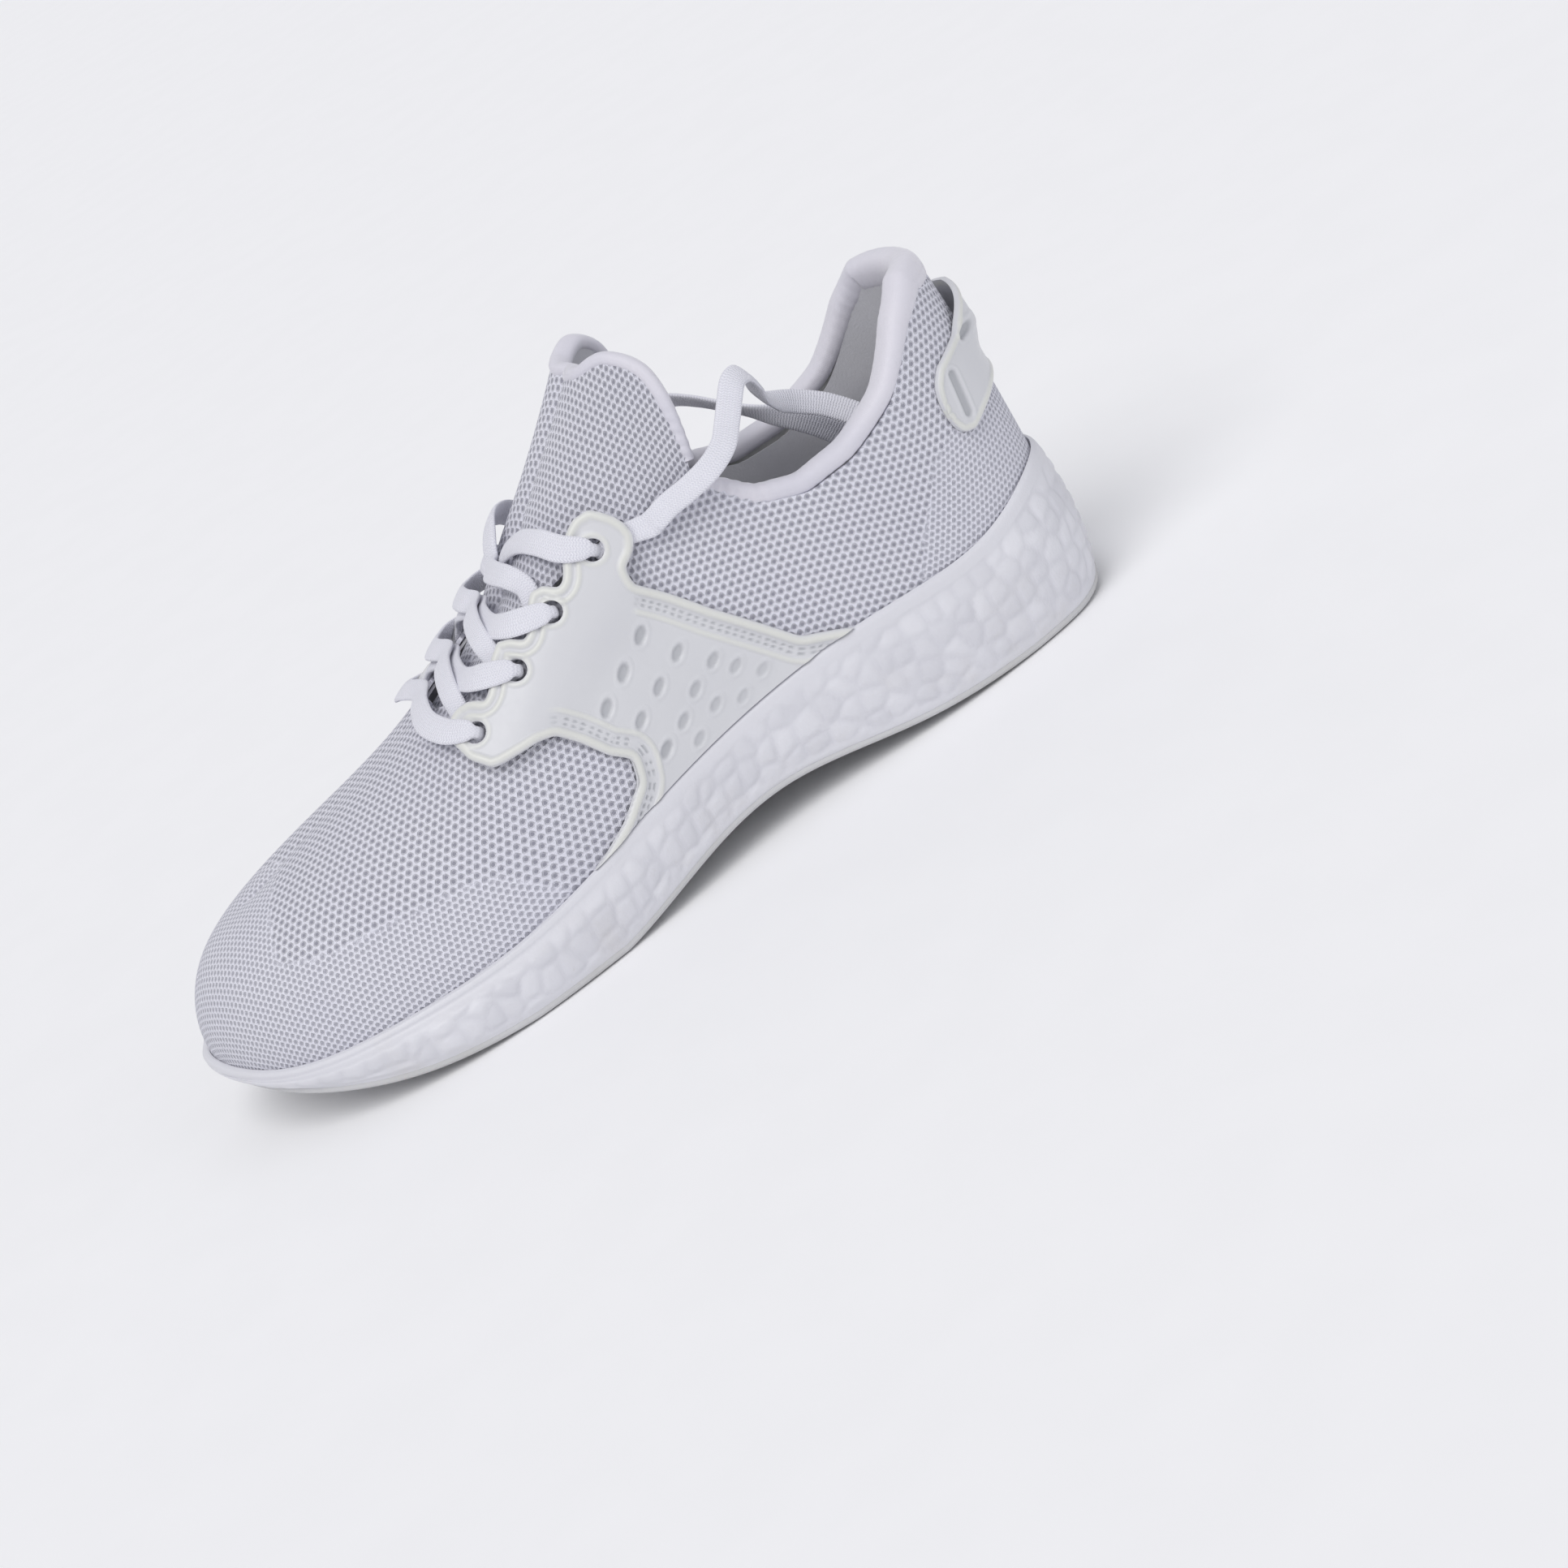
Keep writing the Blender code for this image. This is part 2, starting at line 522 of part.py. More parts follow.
def build_bindings(mats, col):
    j = round_heel(3.42)[::-1]
    climb = upper_top(np.abs(j))
    depth = -(lining_out(np.abs(j), climb)) + LINING_THICK
    bead("collar_binding", j, climb, depth, BINDING_HALF, COLLAR_BINDING_LIFT, mats["satin"], col)
    # tongue binding, from the lateral notch over the top to the medial notch
    line = outline(TONGUE_EDGE, np.linspace(0.08, 1, 12))
    line = np.vstack([line, (line * (-1, 1) + (20, 0))[-2::-1]])
    depth = np.full(len(line), MESH_THICK + 2 * GAP + TONGUE_PAD + LINING_THICK)
    bead("tongue_binding", line[:, 0], line[:, 1], depth, 1.9, TONGUE_BINDING_LIFT, mats["satin"], col)


def cage_offset(climb):
    """The cage lies on the knit low down and stands off it where laces pass beneath."""
    return CAGE_BASE + CAGE_LIFT * smooth_step(climb, 22, 34)


def cylinder_cutter(name, centre, axis, radius, length, col):
    """Wire cylinder used as a boolean cutter."""
    bm = bmesh.new()
    bmesh.ops.create_cone(bm, cap_ends=True, segments=10, radius1=radius * MM, radius2=radius * MM,
                          depth=length * MM)
    mesh = bpy.data.meshes.new(name)
    bm.to_mesh(mesh)
    bm.free()
    obj = bpy.data.objects.new(name, mesh)
    obj.location = centre
    obj.rotation_euler = Vector(axis).to_track_quat("Z", "Y").to_euler()
    obj.hide_render = True
    obj.display_type = "WIRE"
    col.objects.link(obj)
    return obj


def build_cages(mats, col, cutters):
    grid = coons((CAGE_REAR[0], CAGE_FRONT[0]), CAGE_EYESTAY, CAGE_REAR, CAGE_FRONT, 19, 10)
    for side, word in ((-1, "lateral"), (1, "medial")):
        j, climb = mirrored(grid[..., 0], side), grid[..., 1]
        out = cage_offset(climb) + CAGE_THICK
        cage = shell("cage_" + word, [patch(j, climb, out, CAGE_THICK)], mats["cage"], col)
        for n, (k, c) in enumerate(EYELETS):
            hole = skin(np.array([mirrored(k, side)]), np.array([c]), CAGE_BASE + CAGE_LIFT + CAGE_THICK / 2)
            tip = skin(np.array([mirrored(k, side)]), np.array([c]), CAGE_BASE + CAGE_LIFT + 5)
            axis = (tip - hole)[0]
            axis /= np.linalg.norm(axis)
            cutter = cylinder_cutter(f"eyelet_cutter_{word}_{n + 1}", hole[0], axis, EYELET_RADIUS, 4.0,
                                     cutters)
            cut = cage.modifiers.new(f"eyelet_{n + 1}", "BOOLEAN")
            cut.operation = "DIFFERENCE"
            cut.solver = "EXACT"
            cut.object = cutter


def build_heel_tab(mats, col):
    j = round_heel(1.55)
    k = np.abs(j)
    top = np.interp(k, *np.array(HEEL_TAB_TOP, float).T)
    foot = np.interp(k, *np.array(HEEL_TAB_FOOT, float).T)
    climb = foot[:, None] + (top - foot)[:, None] * np.linspace(0, 1, 6)[None, :]
    jj = np.repeat(j[:, None], 6, 1)
    lift = 3.0 * (1 - smooth_step(np.abs(jj), 0.35, 0.95)) * smooth_step(climb, 14, 18)
    shell("heel_tab", [patch(jj, climb, GAP + lift + 1.4, 1.4)], mats["cage"], col)


# ==== tongue ============================================================================================

def tongue_grid(nu, nv):
    """(station, climb) from the throat edge (u=0) to the ridge (u=1), sole end to free edge (v)."""
    side = [(7.0, 78), (6.75, 74), (6.5, 68)] + [p for p in reversed(THROAT[:5])]
    side = [(k, c + 1.2) for k, c in side]
    ridge = ((7.2, 90), (4.38, 90))
    return coons((side[0], (7.2, 90)), [(k, c + (1.2 if c < 30 else 0)) for k, c in TONGUE_EDGE],
                 side, ridge, nu, nv)


def tongue_out(k):
    """The tongue dives beneath the vamp at its lower end."""
    return -TONGUE_DIVE * smooth_step(k, 5.3, 6.5)


def tongue_layer(name, rows, out, thick, mat, col, nu=8):
    """Sheet of the tongue, both halves joined along the ridge, between two row fractions."""
    whole = tongue_grid(nu, 41)
    low, high = rows
    grids = []
    n = 7
    for side in (-1, 1):
        u = np.linspace(0, 1, nu)
        v = low(u)[:, None] + (high(u) - low(u))[:, None] * np.linspace(0, 1, n)[None, :]
        k = np.stack([np.interp(v[i], np.linspace(0, 1, 41), whole[i, :, 0]) for i in range(nu)])
        c = np.stack([np.interp(v[i], np.linspace(0, 1, 41), whole[i, :, 1]) for i in range(nu)])
        o = tongue_out(k) + out
        grids.append(patch(mirrored(k, side), c, o, thick))
    return shell(name, grids, mat, col)


def build_tongue(mats, col):
    def root(u):
        return np.zeros_like(u)

    def base_top(u):
        return FOLD_BASE[0] + (FOLD_BASE[1] - FOLD_BASE[0]) * u

    def flap_low(u):
        return FOLD_FLAP[0] + (FOLD_FLAP[1] - FOLD_FLAP[0]) * u

    def edge(u):
        return np.full_like(u, FLAP_EDGE)

    tongue_layer("tongue_base", (root, base_top), -0.2, 3.2, mats["knit"], col)
    tongue_layer("tongue_flap", (flap_low, edge), 0.0, MESH_THICK, mats["knit"], col)
    tongue_layer("tongue_foam", (flap_low, edge), -(MESH_THICK + GAP), TONGUE_PAD, mats["pad"], col)
    tongue_layer("tongue_lining", (flap_low, edge), -(MESH_THICK + 2 * GAP + TONGUE_PAD), LINING_THICK,
                 mats["lining"], col)


def hinge_tongue(col):
    """Empty on the fold axis, carrying the four pieces of the flap that turn about it."""
    hinge = bpy.data.objects.new("tongue_hinge", None)
    along, up = TONGUE_AXIS
    place = Vector(to_scene((along, 0.0, up)))
    hinge.location = place
    hinge.empty_display_size = 0.02
    col.objects.link(hinge)
    for name in ("tongue_flap", "tongue_foam", "tongue_lining", "tongue_binding"):
        piece = bpy.data.objects[name]
        piece.parent = hinge
        piece.matrix_parent_inverse = Matrix.Translation(-place)


# ==== laces =============================================================================================

def smooth_route(points, steps):
    """Catmull-Rom curve through the points, with a few even steps between neighbours."""
    p = np.asarray(points, float)
    p = np.vstack([2 * p[0] - p[1], p, 2 * p[-1] - p[-2]])
    t = (np.arange(steps) / steps)[:, None]
    pieces = []
    for a, b, c, d in zip(p[:-3], p[1:-2], p[2:-1], p[3:]):
        pieces.append(0.5 * (2 * b + (c - a) * t + (2 * a - 5 * b + 4 * c - d) * t ** 2
                             + (3 * b - a - 3 * c + d) * t ** 3))
    return np.vstack(pieces + [p[-2:-1]])


def eyelet_turn(side, row):
    """Strand through an eyelet: along the cage, down the hole, back beneath the cage; at the top
    row it leaves the other way. Each step is (millimetres from the hole, offset, width)."""
    k, c = EYELETS[row]
    dk, dc = STRANDS_OVER[row][0][0] - k, STRANDS_OVER[row][0][1] - c
    size = np.hypot(30 * dk, 0.55 * dc)
    away, far = (0.8, 2.2) if row < 3 else (-1.4, -3.2)
    steps = ((2.6, LACE_OVER + 0.1, 5.4), (0.5, LACE_OVER - 0.8, LACE_BUNCHED),
             (-0.3, LACE_OVER - 2.2, LACE_BUNCHED), (away, LACE_UNDER, LACE_BUNCHED),
             (far, LACE_UNDER - 0.1, 5.0))
    return [(mirrored(k + s * dk / size, side), c + s * dc / size, h, w) for s, h, w in steps]


def crossing(side, row, upper):
    """Strand from beneath one row's cage, over the ridge, to the next row's eyelet. The upper
    strand of a crossing stands off the lower one until the two have parted."""
    rise = (LACE_UNDER, 1.9, 3.4, 3.7, 3.8) if upper else (LACE_UNDER, 1.4, 1.4, 1.4, 1.4)
    fall = (5.3, 4.8, 4.1, 3.8) if upper else (5.1, 3.7, 1.6, 1.5)
    near = [(mirrored(k, side), c, h, w) for (k, c), h, w in
            zip(STRANDS_UNDER[row], rise, (5.6, 5.6, 6.0, 6.4, 6.6))]
    far = [(mirrored(k, -side), c, h, w) for (k, c), h, w in
           zip(STRANDS_OVER[row + 1], fall, (6.4, 6.0, 5.8, 6.4))]
    ridge = (mirrored(CROSSINGS[row], side), 89.5, LACE_ON_RIDGE[1 if upper else 0], LACE_WIDTH)
    return near + [ridge] + far[::-1]


def lace_route():
    """(ring position, climb, offset, width) along the laced part of the lace."""
    leave = (4.08, 31.8, LACE_UNDER, LACE_WIDTH)

    def half(side, uppers):
        """From row 1's eyelet on one side up to the exit behind the cage of a fourth eyelet."""
        route = eyelet_turn(side, 0)
        for row, upper in enumerate(uppers):
            route += crossing(side, row, upper)
            side = -side
            route += eyelet_turn(side, row + 1)
        return route + [(mirrored((EYELETS[3][0] + leave[0]) / 2, side), 36, LACE_UNDER, 5.6),
                        (mirrored(leave[0], side), *leave[1:])]

    first = half(-1, (True, False, True))
    second = half(1, (False, True, False))
    rise = list(zip(STRANDS_OVER[0], (5.1, 4.7, 4.0), (6.4, 6.4, LACE_WIDTH)))
    bar = [(k, c, h, w) for (k, c), h, w in rise] + [(6.88, 89.5, 3.2, LACE_WIDTH)]
    bar += [(20 - k, c, h, w) for (k, c), h, w in reversed(rise)]
    return first[::-1] + bar + second


def ribbon(name, path, widths, normals, mat, col):
    """Flat lace: a box section kept level with the surface it lies on."""
    tangent = np.gradient(path, axis=0)
    tangent /= np.linalg.norm(tangent, axis=1, keepdims=True)
    across = np.cross(normals, tangent)
    size = np.linalg.norm(across, axis=1, keepdims=True)
    across = across / np.maximum(size, 1e-9)
    keep = size[:, 0] > 0.75
    for i in range(1, len(across)):
        if not keep[i]:
            across[i] = across[i - 1]
        elif across[i] @ across[i - 1] < 0:
            across[i] = -across[i]
    for _ in range(2):
        across[1:-1] = (across[:-2] + 2 * across[1:-1] + across[2:]) / 4
    across -= tangent * (across * tangent).sum(1, keepdims=True)
    across /= np.linalg.norm(across, axis=1, keepdims=True)
    rise = np.cross(tangent, across)
    w, t = across * widths[:, None] / 2 * MM, rise * LACE_THICK / 2 * MM
    ring = np.stack([path - w - t, path + w - t, path + w + t, path - w + t], 1)
    return tube(name, ring, mat, col)


def build_laces(mats, col):
    route = np.array(lace_route())
    path = skin(route[:, 0], route[:, 1], route[:, 2])
    normal = last_normal(route[:, 0], np.minimum(route[:, 1], 88.5))
    path, normal = smooth_route(path, 2), smooth_route(normal, 2)
    widths = smooth_route(route[:, 3:4], 2)[:, 0]
    ribbon("lace", path, widths, normal, mats["lace"], col)

    for word, points, lead in (("lateral", END_LATERAL, -1), ("medial", END_MEDIAL, 1)):
        path = smooth_route(to_scene(points), 3)
        side = np.zeros_like(path)
        side[:, 1] = lead
        side[:, 2] = 0.5
        stop = len(path) - 1
        ribbon("lace_end_" + word, path, np.full(len(path), LACE_WIDTH), side, mats["lace"], col)
        heading = path[stop] - path[stop - 1]
        heading /= np.linalg.norm(heading)
        across = np.cross(heading, (0, 0, 1.0))
        across /= np.linalg.norm(across)
        rise = np.cross(across, heading)
        a = np.linspace(0, 2 * np.pi, 8, endpoint=False)[None, :, None]
        centre = path[stop] + heading * np.array([[GAP], [GAP + AGLET_LENGTH]]) * MM
        ring = centre[:, None] + AGLET_RADIUS * MM * (np.cos(a) * across + np.sin(a) * rise)
        tube("aglet_" + word, ring, mats["aglet"], col)


def main():
    for obj in list(bpy.data.objects):
        bpy.data.objects.remove(obj, do_unlink=True)
    shoe = collection("running_shoe", bpy.context.scene.collection)
    cutters = collection("cutters", bpy.context.scene.collection)
    mats = {
        "foam": material("foam", (0.80, 0.80, 0.81), 0.55),
        "rubber": material("rubber", (0.74, 0.74, 0.73), 0.6),
        "board": material("board", (0.72, 0.71, 0.68), 0.9),
        "insole": material("insole", (0.66, 0.66, 0.68), 0.9),
        "knit": material("knit", (0.72, 0.72, 0.77), 0.85),
        "knit_fine": material("knit_fine", (0.66, 0.66, 0.71), 0.85),
        "satin": material("satin", (0.78, 0.77, 0.80), 0.5),
        "cage": material("cage", (0.80, 0.81, 0.79), 0.4),
        "pad": material("pad", (0.70, 0.70, 0.72), 0.95),
        "lining": material("lining", (0.74, 0.73, 0.76), 0.85),
        "stiffener": material("stiffener", (0.65, 0.65, 0.62), 0.6),
        "lace": material("lace", (0.82, 0.82, 0.85), 0.8),
        "aglet": material("aglet", (0.80, 0.80, 0.80), 0.3),
    }
    build_sole(mats, shoe)
    build_upper(mats, shoe)
    build_bindings(mats, shoe)
    build_cages(mats, shoe, cutters)
    build_heel_tab(mats, shoe)
    build_tongue(mats, shoe)
    hinge_tongue(shoe)
    build_laces(mats, shoe)


main()
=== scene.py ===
"""White running shoe: knitted upper, moulded side cages, pebbled foam sole and flat laces.

Every layer is laid out on a shoe last. A place on the last is a ring position j (0 at the heel
back, 10 at the toe tip, 20 back at the heel along the medial side) and a climb angle, 0 at the
feather line beside the sole and 90 at the ridge. Lengths are in millimetres up to the last step,
where they become metres in the frame: toe towards -X, medial side towards +Y, floor at zero.
"""
import math

import bpy
import numpy as np
from bpy.props import FloatProperty, FloatVectorProperty, PointerProperty
from mathutils import Matrix, Vector


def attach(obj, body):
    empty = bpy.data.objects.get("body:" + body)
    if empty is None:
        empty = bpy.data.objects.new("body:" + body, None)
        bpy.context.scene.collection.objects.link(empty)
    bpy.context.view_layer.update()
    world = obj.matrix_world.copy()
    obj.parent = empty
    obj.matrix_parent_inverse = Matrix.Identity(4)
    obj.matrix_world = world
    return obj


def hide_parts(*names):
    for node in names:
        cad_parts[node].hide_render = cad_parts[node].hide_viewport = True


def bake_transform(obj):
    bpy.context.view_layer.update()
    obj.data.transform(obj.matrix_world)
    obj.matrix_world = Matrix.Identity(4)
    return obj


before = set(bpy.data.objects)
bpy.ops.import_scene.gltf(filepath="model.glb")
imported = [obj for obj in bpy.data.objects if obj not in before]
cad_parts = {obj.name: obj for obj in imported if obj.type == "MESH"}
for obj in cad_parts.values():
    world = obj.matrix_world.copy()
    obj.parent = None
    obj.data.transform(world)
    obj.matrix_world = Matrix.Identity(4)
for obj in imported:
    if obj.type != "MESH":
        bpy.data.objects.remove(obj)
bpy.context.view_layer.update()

bl_info = {
    "name": "Running shoe",
    "version": (1, 0, 0),
    "blender": (4, 5, 0),
    "location": "View3D > Sidebar > Shoe",
    "description": "Builds the visible pieces of a knitted running shoe on its measured frame",
    "category": "Object",
}

MM = 0.001
HEEL_TO_ORIGIN = 149.2        # from the pattern's heel datum to the origin
SIDE_SHIFT = 1.5
STATION_MM, CLIMB_MM = 30.0, 0.55      # length of a station step, and of a degree of climb at the throat
TABLE_STEP = 0.05                      # ring step of the look-up tables
CAMERA_AT = (-0.14031, -1.06450, 0.38521)
CAMERA_AHEAD = (0.15001, 0.92894, -0.33847)

# one row per station: lateral outline, medial outline, feather heights, ridge point, fullness
STATIONS = (
    (8, 0, 8, 0, 39, 39, 80, 0, 178, 3.2),
    (17, -21, 17, 23, 37.5, 37.5, 80, 0, 178, 2.9),
    (43, -32, 43, 30, 30.5, 30.5, 81, 0, 174, 3.0),
    (80, -36, 80, 34.5, 32, 33, 84, 0, 165, 2.8),
    (119, -35, 117, 30, 30, 32, 99, 0, 142, 2.4),
    (153, -40, 149, 32, 26, 28, 126, 1, 116, 2.0),
    (185, -46, 179, 38, 20.5, 22.5, 157, 2, 91, 2.0),
    (215, -49, 209, 44, 17.5, 19.5, 193, 4, 73, 1.9),
    (248, -45, 243, 45, 17.5, 18.5, 225, 5, 64, 2.0),
    (278, -28, 277, 33, 19, 20, 248, 6, 57.5, 2.1),
    (292, 6, 292, 6, 23, 23, 258, 7, 54, 2.0),
)
GROUND = (5, 1, 0, 2.8, 9, 6.6, 0, 0, 3.7, 13.0, 18.0)
FOOTBED = (25, 24, 22, 22, 21.5, 19, 13, 10, 11.5, 17.4, 21.6)
BULGE_MID = (3, 4.5, 5, 4.5, 3, 3.5, 4.5, 5.5, 5.5, 4.5, 2.5)
BULGE_LOW = (1.5, 3.8, 4.5, 4.0, 2.6, 3.3, 4.5, 5.3, 5.0, 3.6, 1.4)
BULGE_FOOT = (-1, 2, 3, 2.8, 2, 2.6, 3.4, 4.2, 3.8, 2.4, -0.4)
OUTSOLE_THICK, STROBEL_THICK, INSOLE_THICK, GAP = 2.0, 1.5, 4.0, 0.3
RIM_LIP, BUMPER_CLIMB, BUMPER_GAP, BUMPER_SPAN = 1.0, 17.1, 0.6, (10.2, 13.2)

# outlines as (station, climb)
TOPLINE = ((0, 27.5), (1, 28), (1.5, 26), (2, 22), (2.5, 20), (2.9, 20), (3.2, 22.5), (3.5, 29))
THROAT = ((3.5, 29), (4.15, 33), (4.6, 40), (5.2, 48), (6.0, 57), (6.5, 66), (6.8, 78), (6.9, 90))
TONGUE_EDGE = ((3.5, 29), (3.4, 38), (3.42, 44), (3.54, 49), (3.76, 57), (4.1, 67), (4.3, 78),
               (4.38, 90))
CAGE_REAR = ((3.12, 2), (3.46, 5), (3.9, 16), (4.15, 23), (4.38, 29), (4.39, 32), (4.25, 32),
             (4.18, 33.5), (4.21, 36))
CAGE_FRONT = ((5.87, 2), (5.68, 2.6), (5.43, 4), (5.16, 7), (5.11, 11), (5.27, 15), (5.45, 22),
              (5.63, 28), (5.8, 31), (5.96, 33), (6.18, 36), (6.29, 38), (6.46, 45), (6.6, 56))
CAGE_EYESTAY = ((4.21, 36), (4.28, 39), (4.45, 44.5), (4.62, 47.5), (4.76, 48.5), (4.88, 47), (4.96, 44.3),
                (5.04, 44.8), (5.18, 49.5), (5.32, 52.5), (5.41, 51.5), (5.48, 47.8), (5.55, 47.8),
                (5.68, 52.5), (5.82, 56.3), (5.94, 55.5), (6.04, 50.6), (6.12, 50.4), (6.24, 54.8),
                (6.38, 58.3), (6.5, 59.5), (6.58, 59), (6.6, 56))
EYELETS = ((6.31, 48), (5.73, 46), (5.2, 44), (4.58, 40))
NOTCHES = ((6.08, 50), (5.51, 47.5), (5.0, 44))
STRANDS_OVER = (((6.58, 57), (6.76, 67), (6.84, 78)), ((6.03, 54), (6.22, 60.5), (6.4, 70), (6.5, 80)),
                ((5.53, 51.5), (5.74, 58), (5.95, 68), (6.1, 80)),
                ((4.86, 48), (5.08, 57), (5.36, 69), (5.66, 81)))
STRANDS_UNDER = (((6.44, 53), (6.45, 59.5), (6.48, 66), (6.52, 74), (6.55, 82)),
                 ((5.94, 51), (5.95, 57), (6.01, 64), (6.08, 72), (6.14, 81)),
                 ((5.36, 50.5), (5.39, 56.5), (5.52, 64), (5.69, 73), (5.82, 82)))
CROSSINGS = (6.55, 6.17, 5.87)
EYELET_RADIUS = 3.1
DIMPLES = (((4.53, 23), (4.32, 16), (4.10, 11), (3.97, 8), (3.81, 5)),
           ((4.82, 22), (4.60, 15), (4.34, 10), (4.26, 6), (4.04, 4)),
           ((5.10, 21), (4.88, 14), (4.56, 8), (4.52, 4)), ((4.81, 7),))
HEEL_TAB_TOP = ((0, 22), (.35, 21.5), (.9, 18.8), (1.4, 18.5), (1.6, 17))
HEEL_TAB_FOOT = ((0, 12), (.6, 11.5), (1.0, 11), (1.4, 10.7), (1.6, 12))
FINE_HEEL = ((1.5, 12.6), (1.93, 12), (2.2, 8), (2.33, 6), (2.5, 2), (2.52, 0))
FINE_TOE = ((6.0, 0), (6.1, 1), (6.32, 8), (6.61, 17), (7.01, 24), (7.42, 27), (7.88, 31),
            (8.37, 34), (8.7, 40), (8.9, 90))
SEAM_HEEL, SEAM_VAMP = 1.95, 5.0
MESH_THICK, CAGE_THICK, CAGE_BASE, CAGE_LIFT = 1.2, 1.2, 0.7, 2.0
STIFFENER_THICK, LINING_THICK, LINING_GAP = 1.2, 0.8, 0.9
COLLAR_PAD, TONGUE_PAD, TONGUE_DIVE, BINDING_STEP = 4.6, 2.2, 4.0, 2.1
TONGUE_TOP = 0.99

LACE_BUNCHED, AGLET_LENGTH, AGLET_RADIUS = 3.6, 20.0, 1.6
LACE_UNDER, LACE_OVER, LACE_ON_RIDGE = 1.4, 5.0, (1.4, 3.5)
FREE_FACING = np.array([0.0, 0.9, 0.45])      # the way the flat side of the medial free end faces
END_LATERAL = ((117.9, -33.4, 91.4), (115.2, -34.9, 92.4), (111, -35.9, 93.8), (103.5, -37.8, 95.2),
               (96.5, -38.6, 97), (90, -36.5, 99.5), (85, -32, 103), (80.5, -28, 106.8),
               (76.5, -24.5, 109.6), (72.5, -20.5, 108.8), (70.5, -16.5, 104), (69.5, -12, 98.5),
               (66, -8, 94), (60, -5, 89.5), (53, -6, 84), (46.5, -10.5, 76), (42.5, -15.5, 66),
               (42, -17.5, 56), (45, -16.5, 48.5), (50.5, -13.5, 43), (57.5, -10, 40), (65, -6.5, 39))
END_MEDIAL = ((116.5, 28.9, 92), (113.5, 31.1, 93.2), (109.5, 32.6, 94.6), (102.5, 35.2, 96),
              (96, 36.2, 98), (90, 34, 100.5), (84.5, 29, 101), (79, 23, 98), (73, 17, 93),
              (66.5, 11.5, 87.5), (59.5, 7.5, 81.5), (53, 6, 74), (48, 7.5, 65.5), (46, 11, 56.5),
              (47.5, 14, 48), (53, 15.5, 42.5), (60.5, 15, 39.5), (69, 13, 38.5))


# ==== the last ==============================================================================

def ring_spline(values, j):
    """Smooth closed curve through values given at whole ring positions (cubic, periodic)."""
    v = np.asarray(values, float)
    n = len(v)
    i = np.arange(n)
    a = np.zeros((n, n))
    a[i, i], a[i, (i + 1) % n], a[i, (i - 1) % n] = 4, 1, 1
    bend = np.linalg.solve(a, 6 * (np.roll(v, -1, 0) - 2 * v + np.roll(v, 1, 0)))
    j = np.asarray(j, float) % n
    i0 = np.floor(j).astype(int) % n
    i1 = (i0 + 1) % n
    t = j - np.floor(j)
    if v.ndim > 1:
        t = t[..., None]
    s = 1 - t
    return s * v[i0] + t * v[i1] + ((s ** 3 - s) * bend[i0] + (t ** 3 - t) * bend[i1]) / 6


def both_sides(values):
    """Values at stations 0 to 10 mirrored onto the whole ring."""
    return np.concatenate([values, values[-2:0:-1]])


ROWS = np.array(STATIONS, float)
RING = np.vstack([ROWS[:, [0, 1, 4, 6, 7, 8, 9]], ROWS[-2:0:-1][:, [2, 3, 5, 6, 7, 8, 9]]])


def last_surface(j, climb):
    """Quarter superellipse from the outline up to the ridge: across runs with the cosine of the
    climb angle and height with its sine, both scaled so that their powers add up to one."""
    out_x, out_y, feather, ridge_x, ridge_y, ridge_z, power = np.moveaxis(ring_spline(RING, j), -1, 0)
    a = np.radians(climb)
    c, s = np.cos(a), np.sin(a)
    r = (np.abs(c) ** power + np.abs(s) ** power) ** (1 / power)
    c, s = c / r, s / r
    return np.stack([ridge_x + (out_x - ridge_x) * c, ridge_y + (out_y - ridge_y) * c,
                     feather + (ridge_z - feather) * s], -1)


def mirrored(k, side):
    """Ring position of a station on the lateral (-1) or the medial (1) side."""
    return k if side < 0 else 20.0 - k


def to_scene(p):
    """Pattern millimetres to scene metres."""
    p = np.asarray(p, float)
    return np.stack([HEEL_TO_ORIGIN - p[..., 0], p[..., 1] + SIDE_SHIFT, p[..., 2]], -1) * MM


def last_normal(j, climb):
    """Outward unit normal: cross product of the upward and the lengthwise differences."""
    along = to_scene(last_surface(j + 0.01, climb)) - to_scene(last_surface(j - 0.01, climb))
    upward = to_scene(last_surface(j, climb + 0.5)) - to_scene(last_surface(j, climb - 0.5))
    normal = np.cross(upward, along)
    return normal / np.linalg.norm(normal, axis=-1, keepdims=True)


def skin(j, climb, out=0.0, drop=0.0):
    """Point of the last pushed outwards by out and lowered by drop, in scene metres. On the ridge
    the normals of both sides are averaged, so that both halves end in the same point."""
    j, climb, out, drop = np.broadcast_arrays(*(np.asarray(v, float) for v in (j, climb, out, drop)))
    near_ridge = np.minimum(climb, 88.5)
    normal = last_normal(j, near_ridge)
    both = normal + last_normal(20 - j, near_ridge)
    normal = np.where((climb > 89.9)[..., None], both, normal)
    normal /= np.linalg.norm(normal, axis=-1, keepdims=True)
    p = to_scene(last_surface(j, climb)) + normal * out[..., None] * MM
    p[..., 2] -= drop * MM
    return p


def smooth_step(x, low, high):
    """0 below low, 1 above high, with level ends."""
    t = np.clip((np.asarray(x, float) - low) / (high - low), 0, 1)
    return t * t * (3 - 2 * t)


